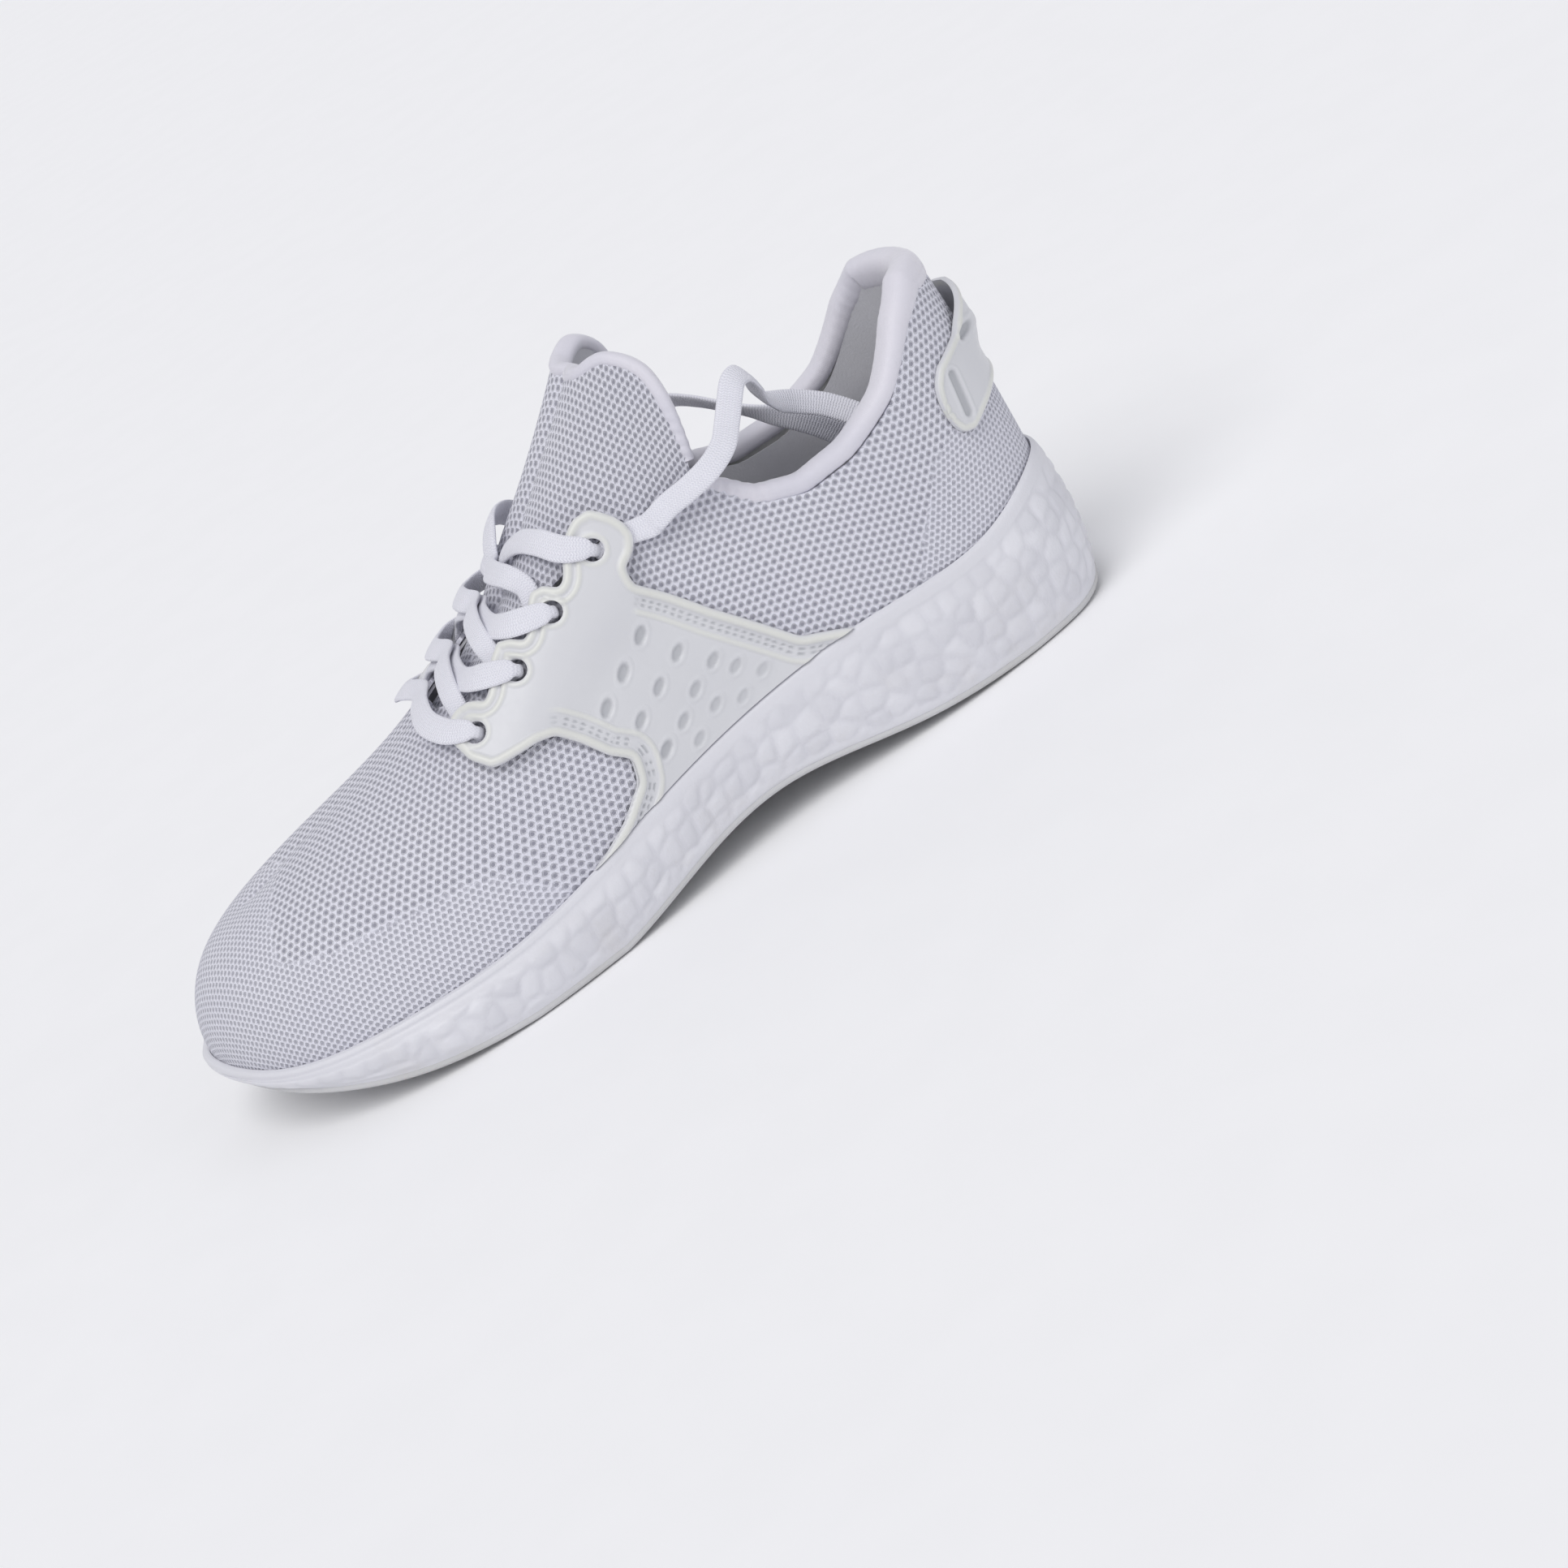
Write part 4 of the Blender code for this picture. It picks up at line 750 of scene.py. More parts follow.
def block(name, wall, caps, materials, cloth=None, marks=None, slots=None, sharp=40.0):
    """Closed solid: a wall of stacked rings (ring position by row) and a grid across each end."""
    nu, nv = wall.shape[:2]
    points, faces, start = [wall.reshape(-1, 3)], [grid_quads(nu, nv, wrap=True)], nu * nv
    for cap, flip in zip(caps, (True, False)):
        quads = grid_quads(*cap.shape[:2]) + start
        faces.append(quads[:, ::-1] if flip else quads)
        points.append(cap.reshape(-1, 3))
        start += cap.shape[0] * cap.shape[1]
    extra = start - nu * nv
    if marks:
        marks = {word: np.concatenate([np.ravel(v), np.zeros(extra)]) for word, v in marks.items()}
    if cloth is not None:
        cloth = np.vstack([cloth.reshape(-1, 2), np.zeros((extra, 2))])
    return make_piece(name, np.vstack(points), np.vstack(faces), materials, cloth, marks, slots, sharp)


def cell_pattern(x, y, period):
    """Cells round scattered points on a ring of the given number of cells: distances to the
    nearest and second nearest point, and a steady number for the nearest cell."""
    def scatter(ix, iy):
        """Two steady fractions for a cell: the fractional parts of large sines of its numbers."""
        ix = ix % period
        a = np.sin(ix * 127.1 + iy * 311.7) * 43758.5453
        b = np.sin(ix * 269.5 + iy * 183.3) * 43758.5453
        return a - np.floor(a), b - np.floor(b)
    ix, iy = np.floor(x), np.floor(y)
    near, second, shade = np.full(x.shape, 9.0), np.full(x.shape, 9.0), np.zeros(x.shape)
    for dx in (-1, 0, 1):
        for dy in (-1, 0, 1):
            a, b = scatter(ix + dx, iy + dy)
            d = np.hypot(ix + dx + 0.15 + 0.7 * a - x, iy + dy + 0.15 + 0.7 * b - y)
            closer = d < near
            second = np.where(closer, near, np.minimum(second, d))
            shade = np.where(closer, (a * 7.3 + b * 3.1) % 1.0, shade)
            near = np.minimum(near, d)
    return near, second, shade


def build_midsole(look):
    """Foam cup: the outer wall is a smooth curve down through the rim, the bulge and the foot,
    and beads of foam stand out from it as rounded cells with grooves between them."""
    columns = 860
    steps = 8
    j = np.linspace(0, 20, columns, endpoint=False)
    ground = np.maximum(ring_spline(both_sides(GROUND), j), 0)
    floor = ring_spline(both_sides(FOOTBED), j)
    feather = ring_spline(RING[:, 2], j)
    mid, low, foot = (ring_spline(both_sides(v), j) for v in (BULGE_MID, BULGE_LOW, BULGE_FOOT))
    climb = bumper_climb(j)
    base = ground + OUTSOLE_THICK + 0.03
    inside = np.stack([sole_ring(j, -0.1, floor), sole_ring(j, GAP, floor), sole_ring(j, GAP, feather),
                       skin(j, climb / 2, 0.25), skin(j, climb + 0.4, 0.15)])
    shape = np.stack([skin(j, climb + 0.9, 0.7), skin(j, climb + 0.5, BUMPER_GAP + 1.3),
                      skin(j, climb / 2, BUMPER_GAP + 1.9),
                      sole_ring(j, np.minimum(2.8, mid), feather - 0.8),
                      sole_ring(j, mid * 0.9 + 0.2, base + (feather - base) * 0.78),
                      sole_ring(j, mid, base + (feather - base) * 0.55),
                      sole_ring(j, (mid + low) / 2 + 0.1, base + (feather - base) * 0.36),
                      sole_ring(j, low, base + (feather - base) * 0.2),
                      sole_ring(j, foot + 0.35, base + 0.9), sole_ring(j, foot, base)])
    outside = follow(shape, steps)
    wall = np.concatenate([inside, outside]).transpose(1, 0, 2)
    rows = len(inside)
    face = wall[:, rows:] / MM
    down = run_length(face, 1)
    tall = down[:, -1:]
    closed = np.concatenate([face[:, -1], face[:1, -1]])
    run = run_length(closed[None], 1)[0]
    around = run[:-1, None] * np.ones_like(down)
    cells = int(round(run[-1] / look.bead_size))
    near, second, shade = cell_pattern(around / run[-1] * cells, down / look.bead_size + 0.35, cells)
    low_rim = smooth_step(down, 4.0, 7.5) * (1 - smooth_step(down, tall - 3.2, tall - 1.2))
    gap = smooth_step(second - near, 0.0, 0.46)
    pillow = gap * (0.65 + 0.35 * np.clip(1 - (near / 0.62) ** 2, 0, 1)) + (shade - 0.5) * 0.3
    rise = look.bead_height / MM * low_rim * (pillow - 0.75)
    out = np.stack([skin(j, np.zeros_like(j), 1.0) - skin(j, np.zeros_like(j), 0.0)] * down.shape[1], 1)
    out /= np.linalg.norm(out, axis=-1, keepdims=True)
    wall[:, rows:] += out * rise[..., None] * MM
    full = np.zeros(wall.shape[:2])
    groove_shade, bead = full.copy(), full.copy() + 0.5
    # mask of the grooves between the beads, used for painted shade in the foam's colour
    groove_shade[:, rows:] = (1 - gap) * low_rim * 0.3
    bead[:, rows:] = 0.5 + (shade - 0.5) * low_rim * 1.0
    caps = (across_ring(wall[:, 0], 24), across_ring(wall[:, -1], 24))
    piece = block("midsole_foam", wall, caps, [FINISHES["foam"]],
                  marks={"groove_shade": groove_shade, "bead_shade": bead}, sharp=60)
    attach(piece, "shoe")
    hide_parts("midsole")


def build_outsole():
    """Thin rubber tread: slanted bars with grooves pressed up into the underside."""
    j = np.linspace(0, 20, 600, endpoint=False)
    ground = np.maximum(ring_spline(both_sides(GROUND), j), 0)
    foot = ring_spline(both_sides(BULGE_FOOT), j)
    rings = np.stack([sole_ring(j, foot, ground + OUTSOLE_THICK), sole_ring(j, foot + 0.2, ground + 1.2),
                      sole_ring(j, foot + 0.1, ground + 0.7), sole_ring(j, foot - 0.4, ground + 0.15),
                      sole_ring(j, foot - 1.0, ground)])
    wall = rings.transpose(1, 0, 2)
    under = across_ring(wall[:, -1], 130)
    x, y = under[..., 0] / MM, under[..., 1] / MM
    wave = np.abs((y + 60) / 9.0 % 2 - 1)
    bars = np.abs((x / 8.5 + wave * 0.8) % 1 - 0.5) * 2
    edge = np.linspace(0, 1, 130)[None, :]
    inner = smooth_step(np.minimum(edge, 1 - edge), 0.03, 0.06)
    inner = inner * smooth_step(np.arange(len(under))[:, None], 4, 9)
    inner = inner * smooth_step(len(under) - 1 - np.arange(len(under))[:, None], 4, 9)
    under[..., 2] += (1 - smooth_step(bars, 0.22, 0.4)) * inner * 1.1 * MM
    piece = block("outsole_tread", wall, (across_ring(wall[:, 0], 12), under), [FINISHES["rubber"]],
                  sharp=50)
    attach(piece, "shoe")
    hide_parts("outsole")


# ==== upper ====================================================================================

def hem_height(j):
    """Height of the upper's hem, just above the footbed of the sole cup."""
    return ring_spline(both_sides(FOOTBED), j) + GAP


def wall_grid(j, top, count, low=0.0):
    """Grid (j, climb, drop) up the upper: a hem down into the sole cup, then even steps of climb."""
    rows = np.concatenate([[0.0], np.linspace(0, 1, count)])
    climb = low + rows[None, :] * (top[:, None] - low)
    drop = np.zeros_like(climb)
    drop[:, 0] = ring_spline(RING[:, 2], j) - hem_height(j)
    return np.repeat(j[:, None], climb.shape[1], 1), climb, drop


def pad_thickness(k, climb):
    """Collar foam: thin low down and in front, thick round the ankle and the heel."""
    rise = smooth_step(climb, 8, 18)
    return STIFFENER_THICK + (COLLAR_PAD - STIFFENER_THICK) * rise * (1 - smooth_step(k, 2.6, 3.4))


def lining_out(k, climb):
    """Offset of the lining behind the foam and the stiffeners, else straight behind the knit."""
    filled = 1 - smooth_step(k, 3.5, 4.3) + smooth_step(k, 7.0, 7.7)
    return -(MESH_THICK + GAP + filled * (pad_thickness(k, climb) + LINING_GAP))


def upper_sheet(name, parts, out, thick, finish_name, cloth_map, fine=None, nodes=()):
    """Closed sheet over one or more grids (j, climb, drop), joined where their edges meet."""
    outer, inner, cloth, marks, sizes = [], [], [], [], []
    for j, climb, drop in parts:
        k = np.minimum(j % 20, 20 - j % 20)
        level = out(k, climb) if callable(out) else out
        outer.append(skin(j, climb, level, drop).reshape(-1, 3))
        inner.append(skin(j, climb, level - thick, drop).reshape(-1, 3))
        cloth.append(cloth_map(j, climb).reshape(-1, 2))
        marks.append((fine(k, climb) if fine else np.zeros_like(climb)).ravel())
        sizes.append(j.shape)
    quads, start = [], 0
    for n, (nu, nv) in enumerate(sizes):
        q = grid_quads(nu, nv) + start
        quads.append(q[:, ::-1] if n % 2 else q)
        start += nu * nv
    piece = shell(name, np.vstack(outer), np.vstack(inner), np.vstack(quads), [FINISHES[finish_name]],
                  np.vstack(cloth), {"fine": np.concatenate(marks)})
    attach(piece, "shoe")
    if nodes:
        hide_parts(*nodes)
    return piece


def fine_toe(k, climb):
    """1 where the forefoot is knitted fine: in front of the boundary line round the toe."""
    line = np.array(FINE_TOE, float)
    edge = np.interp(climb, line[:, 1], line[:, 0])
    return smooth_step((k - edge) * STATION_MM, -1.0, 1.5)


def fine_heel(k, climb):
    """1 where the heel is knitted fine: behind the slanting line below the heel tab."""
    line = np.array(FINE_HEEL[::-1], float)
    edge = np.interp(climb, line[:, 1], line[:, 0])
    return smooth_step((edge - k) * STATION_MM, -0.6, 0.6) * (1 - smooth_step(climb, 12.2, 13.4))


def round_heel(high, count):
    """Ring positions from the medial side round the heel back to the lateral side."""
    return np.linspace(-high, high, count)


def build_knit():
    """The four knitted panels of the upper."""
    many = 110
    seam = 0.0005
    k = np.concatenate([np.linspace(SEAM_VAMP + seam, 6.9, many // 2), np.linspace(6.9, 10, many)[1:]])
    parts = [wall_grid(j, upper_top(k), many // 2) for j in (k, 20 - k)]
    upper_sheet("knit_vamp", parts, 0.0, MESH_THICK, "knit", draped_cloth, fine_toe, ["vamp"])
    k = np.linspace(SEAM_HEEL + seam, SEAM_VAMP - seam, many)
    for word, j in (("lateral", k), ("medial", 20 - k)):
        upper_sheet("knit_quarter_" + word, [wall_grid(j, collar_top(k), many // 2)], 0.0, MESH_THICK,
                    "knit", wrapped_cloth, fine_heel, ["quarter_" + word])
    j = round_heel(SEAM_HEEL - seam, many)
    upper_sheet("knit_heel", [wall_grid(j, collar_top(np.abs(j)), many // 2)], 0.0, MESH_THICK, "knit",
                wrapped_cloth, fine_heel, ["heel_panel"])


def build_inside():
    """Lining, collar foam, sock liner and the hidden stiffeners and board."""
    seam, many = 0.012, 70
    k = np.concatenate([np.linspace(SEAM_VAMP + seam, 6.9, many // 2), np.linspace(6.9, 10, many // 2)[1:]])
    parts = [wall_grid(j, upper_top(k) - 0.8, 24) for j in (k, 20 - k)]
    upper_sheet("lining_vamp", parts, lining_out, LINING_THICK, "lining", draped_cloth,
                nodes=["vamp_lining"])
    j = np.linspace(-SEAM_VAMP + seam, SEAM_VAMP - seam, 2 * many)
    upper_sheet("lining_back", [wall_grid(j, collar_top(np.abs(j)) - 0.4, 36)], lining_out, LINING_THICK,
                "lining", wrapped_cloth, nodes=["quarter_lining"])
    j = round_heel(3.3, many)
    top = collar_top(np.abs(j))
    grid_j, climb, drop = wall_grid(j, top, 24, 0.3 * 24)
    climb, drop, grid_j = climb[:, 1:], drop[:, 1:], grid_j[:, 1:]
    layer = -(MESH_THICK + GAP)
    thick = pad_thickness(np.abs(grid_j), climb)
    pad = shell("collar_foam_pad", skin(grid_j, climb, layer), skin(grid_j, climb, layer - thick),
                grid_quads(*grid_j.shape), [FINISHES["pad"]])
    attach(pad, "shoe")
    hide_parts("collar_foam")

    ring = np.linspace(0, 20, 360, endpoint=False)
    floor = ring_spline(both_sides(FOOTBED), ring)
    inset = -(MESH_THICK + GAP + STIFFENER_THICK + LINING_GAP + LINING_THICK + 2 * GAP)
    low = floor + STROBEL_THICK + 2 * GAP
    rings = np.stack([sole_ring(ring, inset, low), sole_ring(ring, inset, low + 2.5),
                      sole_ring(ring, inset - 0.5, low + 3.7),
                      sole_ring(ring, inset - 1.4, low + INSOLE_THICK)])
    wall = follow(rings, 4).transpose(1, 0, 2)
    top_face = across_ring(wall[:, -1], 60)
    w = np.abs(np.linspace(-1, 1, 60))[None, :]
    top_face[..., 2] -= 0.9 * MM * (1 - w ** 3) * np.sin(np.linspace(0, np.pi, len(top_face)))[:, None]
    liner = block("sock_liner", wall, (across_ring(wall[:, 0], 12), top_face), [FINISHES["insole"]],
                  sharp=60)
    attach(liner, "shoe")
    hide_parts("insole")
    for word, finish_name in (("heel_counter", "stiffener"), ("toe_puff", "stiffener"),
                              ("strobel_board", "board")):
        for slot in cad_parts[word].material_slots:
            slot.material = FINISHES[finish_name]


# ==== edge tapes ===================================================================================

def edge_frames(j, climb, middle):
    """Centre line, outward normal and upward direction along an edge of the upper."""
    face = skin(j, climb, middle)
    normal = skin(j, climb, middle + 1) - face
    normal /= np.linalg.norm(normal, axis=1, keepdims=True)
    tangent = np.gradient(face, axis=0)
    up = np.cross(normal, tangent)
    up /= np.linalg.norm(up, axis=1, keepdims=True)
    return face, normal, up * np.sign(up[len(up) // 2, 2])


def roll(name, j, climb, depth, half_up, boxy, crease, finish_name, sides=36):
    """Rolled tape on an edge: a superellipse as deep as the layers under it, its top level with
    the edge line, with small creases across it where the mask asks for them."""
    centre, normal, up = edge_frames(j, climb, -(depth / 2))
    a = np.linspace(0, 2 * np.pi, sides, endpoint=False)
    c, s = np.cos(a), np.sin(a)
    r = (np.abs(c) ** boxy + np.abs(s) ** boxy) ** (-1 / boxy)
    run = run_length(centre[None], 1)[0] / MM
    fold = 1 - crease[:, None] * 0.16 * (0.5 + 0.5 * np.sin(run[:, None] * 1.9 + 1.5 * s[None, :]))
    half_in = (depth / 2 + 0.7)[:, None] * fold
    high = np.broadcast_to(np.asarray(half_up, float), (len(j),))[:, None] * (1 - 0.3 * (1 - fold))
    ring = (centre[:, None] - up[:, None] * (high[:, :1] - 0.5)[..., None] * MM
            + normal[:, None] * (half_in * c * r)[..., None] * MM
            + up[:, None] * (high * s * r)[..., None] * MM)
    around = np.arange(sides) * 20.0 / sides
    cloth = np.stack(np.broadcast_arrays(run[:, None], around[None]), -1)
    return tube(name, ring, cloth, finish_name)


def tube(name, ring, cloth, finish_name, sharp=50.0, marks=None):
    """Closed solid through a row of closed sections, its ends drawn in to a point."""
    n, sides = ring.shape[:2]
    first, last = ring[0].mean(0), ring[-1].mean(0)
    ring = np.concatenate([np.repeat(first[None, None], sides, 1), ring,
                           np.repeat(last[None, None], sides, 1)])
    cloth = np.concatenate([cloth[:1], cloth, cloth[-1:]])
    i, c = np.arange(n + 1)[:, None], np.arange(sides)[None, :]
    a, b = i * sides + c, i * sides + (c + 1) % sides
    quads = np.stack([a, a + sides, b + sides, b], -1).reshape(-1, 4)
    return make_piece(name, ring.reshape(-1, 3), quads, [FINISHES[finish_name]], cloth.reshape(-1, 2), marks,
                      sharp=sharp)


def build_bindings(look):
    """Stretch tape round the collar, fuller over the padded heel."""
    j = np.linspace(3.44, -3.44, 420)
    k = np.abs(j)
    climb = upper_top(k)
    depth = -lining_out(k, climb) + LINING_THICK
    half = look.binding_width / MM / 2 * (1 + 0.85 * (1 - smooth_step(k, 0.5, 2.1)))
    half = half * (1 - 0.25 * smooth_step(k, 3.1, 3.44))
    crease = smooth_step(k, 3.0, 3.3) * 1.2 + 0.12
    piece = roll("collar_tape", j, climb, depth, half, 2.5, crease, "satin")
    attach(piece, "shoe")
    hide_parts("collar_binding")


# ==== side cages ====================================================================================

def cage_offset(climb):
    """The cage lies on the knit low down and stands off it where laces pass beneath."""
    return CAGE_BASE + CAGE_LIFT * smooth_step(climb, 22, 34)


def cage_relief(points, line_of):
    """Relief of the film in millimetres, with masks for thick places and for pressed-in places that get
    painted shade: a bead along the edge, a second bead behind each notch, two stitched channels, and
    slanting dimples."""
    rear, stay, front = (line_of(line) for line in (CAGE_REAR, CAGE_EYESTAY, CAGE_FRONT))
    edge = np.vstack([rear, stay, front[::-1]])
    far, _ = near_line(points, edge)
    bead = ridge_of(far, 1.35, 1.35)
    height = 0.75 * bead
    thick = bead.copy()
    for k, c in NOTCHES:
        notch = line_of(((k, c), (k + 0.02, c)))[0]
        close = 1 - smooth_step(np.linalg.norm(points - notch, axis=-1), 7.0, 10.0)
        second = ridge_of(far, 4.3, 1.0) * close
        height += 0.5 * second
        thick = np.maximum(thick, second)
    # mask of the pressed-in places, used for painted shade in the film's colour
    pressed = np.zeros_like(far)
    for line, from_foot in ((rear, 6.0), (front, 11.0)):
        away, run = near_line(points, line)
        total = run_length(line[None], 1)[0][-1]
        stop = total - (21.0 if line is rear else 37.0)
        on = smooth_step(run, from_foot, from_foot + 2.5) * (1 - smooth_step(run, stop, stop + 2.0))
        channel = ridge_of(away, 4.3, 1.9) * on
        dash = smooth_step(np.sin(run * 2 * np.pi / 2.3), -0.1, 0.5)
        stitch = (ridge_of(away, 3.6, 0.5) + ridge_of(away, 5.0, 0.5)) * dash * on
        inner = ridge_of(away, 7.0, 1.0) * on
        height += -0.35 * channel - 0.3 * stitch + 0.4 * inner
        pressed = np.maximum(pressed, stitch * 0.9)
        thick = np.maximum(thick, inner * 0.8)
    for line in DIMPLES:
        for n, (k, c) in enumerate(line):
            centre = line_of(((k, c), (k + 0.02, c)))[0]
            ahead = line_of(((k - 0.1, c), (k - 0.08, c)))[0] - centre
            above = line_of(((k, c + 3), (k, c + 3.1)))[0] - centre
            ahead /= np.linalg.norm(ahead)
            above -= ahead * (above @ ahead)
            above /= np.linalg.norm(above)
            shrink = 1 - 0.05 * n
            q = points - centre
            long = q @ (ahead * 0.94 + above * 0.34)
            short = q @ (ahead * 0.34 - above * 0.94)
            r = np.hypot(long / (3.2 * shrink), short / (1.85 * shrink)) + 4.0 * (np.abs(q).sum(-1) > 14)
            dent = 1 - smooth_step(r, 0.55, 1.0)
            height += -0.9 * (1 - 0.15 * n) * dent + 0.16 * ridge_of(r, 1.2, 0.3)
            pressed = np.maximum(pressed, dent * (0.8 - 0.1 * n))
    return height, thick, pressed


def relax(grid, rounds):
    """Even out a grid so that no cell folds: each inner point moves to the mean of its
    neighbours weighted by the squared spacing across the other direction, less the cross term."""
    for _ in range(rounds):
        e, w, n, s = grid[2:, 1:-1], grid[:-2, 1:-1], grid[1:-1, 2:], grid[1:-1, :-2]
        du, dv = (e - w) / 2, (n - s) / 2
        a, c, b = (dv ** 2).sum(-1), (du ** 2).sum(-1), (du * dv).sum(-1)
        cross = (grid[2:, 2:] - grid[2:, :-2] - grid[:-2, 2:] + grid[:-2, :-2]) / 4
        total = a[..., None] * (e + w) + c[..., None] * (n + s) - 2 * b[..., None] * cross
        grid[1:-1, 1:-1] = total / (2 * (a + c) + 1e-12)[..., None]
    return grid


def even_patch(grid, step):
    """Relax a patch on every step-th row and column first, then spread that over the full grid."""
    unit = np.array((STATION_MM, CLIMB_MM))
    fine = grid * unit
    rough = relax(fine[::step, ::step].copy(), 1500)
    i, j = np.arange(fine.shape[0]) / step, np.arange(fine.shape[1]) / step
    a, b = np.minimum(i.astype(int), rough.shape[0] - 2), np.minimum(j.astype(int), rough.shape[1] - 2)
    u, v = (i - a)[:, None, None], (j - b)[None, :, None]
    a, b = a[:, None], b[None, :]
    spread = ((rough[a, b] * (1 - u) + rough[a + 1, b] * u) * (1 - v)
              + (rough[a, b + 1] * (1 - u) + rough[a + 1, b + 1] * u) * v)
    fine[1:-1, 1:-1] = spread[1:-1, 1:-1]
    return relax(fine, 150) / unit


def build_cages():
    """Moulded side cages: a patch between four outlines, pressed with its relief, and with the
    eyelet holes cut clean by drawing the edges of the removed faces onto a circle."""
    nu, nv = ((241, 161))
    grid = coons((CAGE_REAR[0], CAGE_FRONT[0]), CAGE_EYESTAY, CAGE_REAR, CAGE_FRONT, nu, nv, 0.9)
    grid = even_patch(grid, 5)
    for side, word in ((-1, "lateral"), (1, "medial")):
        def line_of(line):
            """Outline on the outer face of this side's cage, in millimetres."""
            path = rounded(line, 0.9, 260) if len(line) > 2 else np.array(line, float)
            return skin(mirrored(path[:, 0], side), path[:, 1], cage_offset(path[:, 1]) + CAGE_THICK) / MM

        j, climb = mirrored(grid[..., 0], side), grid[..., 1]
        level = cage_offset(climb) + CAGE_THICK
        flat = skin(j, climb, level) / MM
        height, thick, pressed = cage_relief(flat, line_of)
        quads = grid_quads(nu, nv)
        centres = flat.reshape(-1, 3)[quads].mean(1)
        keep = np.ones(len(quads), bool)
        points_out = skin(j, climb, level + height)
        points_in = skin(j, climb, level - CAGE_THICK)
        for k, c in EYELETS:
            hole = line_of(((k, c), (k + 0.02, c)))[0]
            away = np.linalg.norm(flat - hole, axis=-1)
            rim = ridge_of(away, EYELET_RADIUS + 0.9, 0.9)
            points_out += (skin(j, climb, level + 1) - skin(j, climb, level)) * (0.35 * rim)[..., None]
            gone = np.linalg.norm(centres - hole, axis=-1) < EYELET_RADIUS
            border = np.zeros(nu * nv, bool)
            border[quads[gone].ravel()] = True
            kept = np.zeros(nu * nv, bool)
            kept[quads[~gone].ravel()] = True
            border = (border & kept).reshape(nu, nv)
            pull = (EYELET_RADIUS / np.maximum(away, 0.1) - 1)[..., None] * border[..., None]
            shift = (flat - hole) * pull * MM
            points_out, points_in = points_out + shift, points_in + shift
            keep &= ~gone
            thick = np.maximum(thick, rim * 0.7)
        # the pressed mask carries painted shade into the film's colour
        cage = shell("film_cage_" + word, points_out, points_in, quads[keep], [FINISHES["film"]],
                     marks={"thick": thick, "pressed": pressed}, sharp=55)
        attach(cage, "shoe")
        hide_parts("cage_" + word)


def build_heel_tab():
    """Moulded heel strap: raised edge, a finger loop standing off at the back, and a slot in each
    pointed wing."""
    nu, nv = 260, 60
    j = np.linspace(-1.6, 1.6, nu)
    k = np.abs(j)
    top = height_on(HEEL_TAB_TOP, k, 0.8)
    foot = height_on(HEEL_TAB_FOOT, k, 0.8)
    middle, half = (top + foot) / 2, (top - foot) / 2
    nose = np.sqrt(np.clip(1 - (np.clip(k - 1.5, 0, 0.1) / 0.1) ** 2, 0, 1)) * 0.75 + 0.25
    nose = np.where(k > 1.5, nose, 1.0)
    w = np.linspace(-1, 1, nv)[None, :]
    climb = middle[:, None] + half[:, None] * nose[:, None] * w
    grid_j = np.repeat(j[:, None], nv, 1)
    lift = 3.0 * (1 - smooth_step(np.abs(grid_j), 0.35, 0.95)) * smooth_step(climb, 14, 18)
    level = GAP + lift + 1.4
    flat = skin(grid_j, climb, level) / MM
    edge = np.concatenate([flat[:, -1], flat[::-1, 0], flat[:1, -1]])
    far, _ = near_line(flat, edge)
    bead = ridge_of(far, 1.1, 1.1)
    # the pressed mask marks the slots and windows, used for painted shade in the film's colour
    height, thick, pressed = 0.45 * bead, bead.copy(), np.zeros_like(far)
    for sign in (-1, 1):
        slot = skin(sign * np.linspace(1.30, 1.37, 40), np.linspace(16.6, 12.6, 40), GAP + 1.4) / MM
        away, _ = near_line(flat, slot)
        dent = 1 - smooth_step(away, 1.0, 1.7)
        height += -0.7 * dent + 0.3 * ridge_of(away, 2.4, 0.7)
        pressed = np.maximum(pressed, dent)
        window = skin(sign * np.linspace(0.42, 0.84, 60), np.full(60, 18.0), GAP + 1.4 + 1.0) / MM
        away, _ = near_line(flat, window)
        dent = 1 - smooth_step(away, 0.9, 1.6)
        height += -1.0 * dent + 0.3 * ridge_of(away, 2.3, 0.7)
        pressed = np.maximum(pressed, dent)
    tab = shell("heel_strap", skin(grid_j, climb, level + height), skin(grid_j, climb, level - 1.4),
                grid_quads(nu, nv), [FINISHES["film"]], marks={"thick": thick, "pressed": pressed}, sharp=55)
    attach(tab, "shoe")
    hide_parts("heel_tab")


# ==== tongue ========================================================================================

def tongue_places(rows, across):
    """Grid (j, climb) of the whole tongue, lateral edge over the ridge to the medial edge, at the
    given fractions from its hidden root to its free edge."""
    side = [(7.0, 78), (6.75, 74), (6.5, 68)] + [p for p in reversed(THROAT[:5])]
    side = [(k, c + 1.2) for k, c in side]
    edge = [(k, c + (1.2 if c < 30 else 0)) for k, c in TONGUE_EDGE]
    half = coons((side[0], (7.2, 90)), edge, side, ((7.2, 90), (4.38, 90)), across, 161, 1.0)
    even = np.linspace(0, 1, 161)
    k = np.stack([np.interp(rows, even, half[i, :, 0]) for i in range(across)])
    c = np.stack([np.interp(rows, even, half[i, :, 1]) for i in range(across)])
    c[-1] = 90.0
    return np.vstack([k, 20 - k[-2::-1]]), np.vstack([c, c[-2::-1]])


def bend_tongue(piece):
    """The tongue is one sheet: its placement is baked into its points."""
    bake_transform(piece)


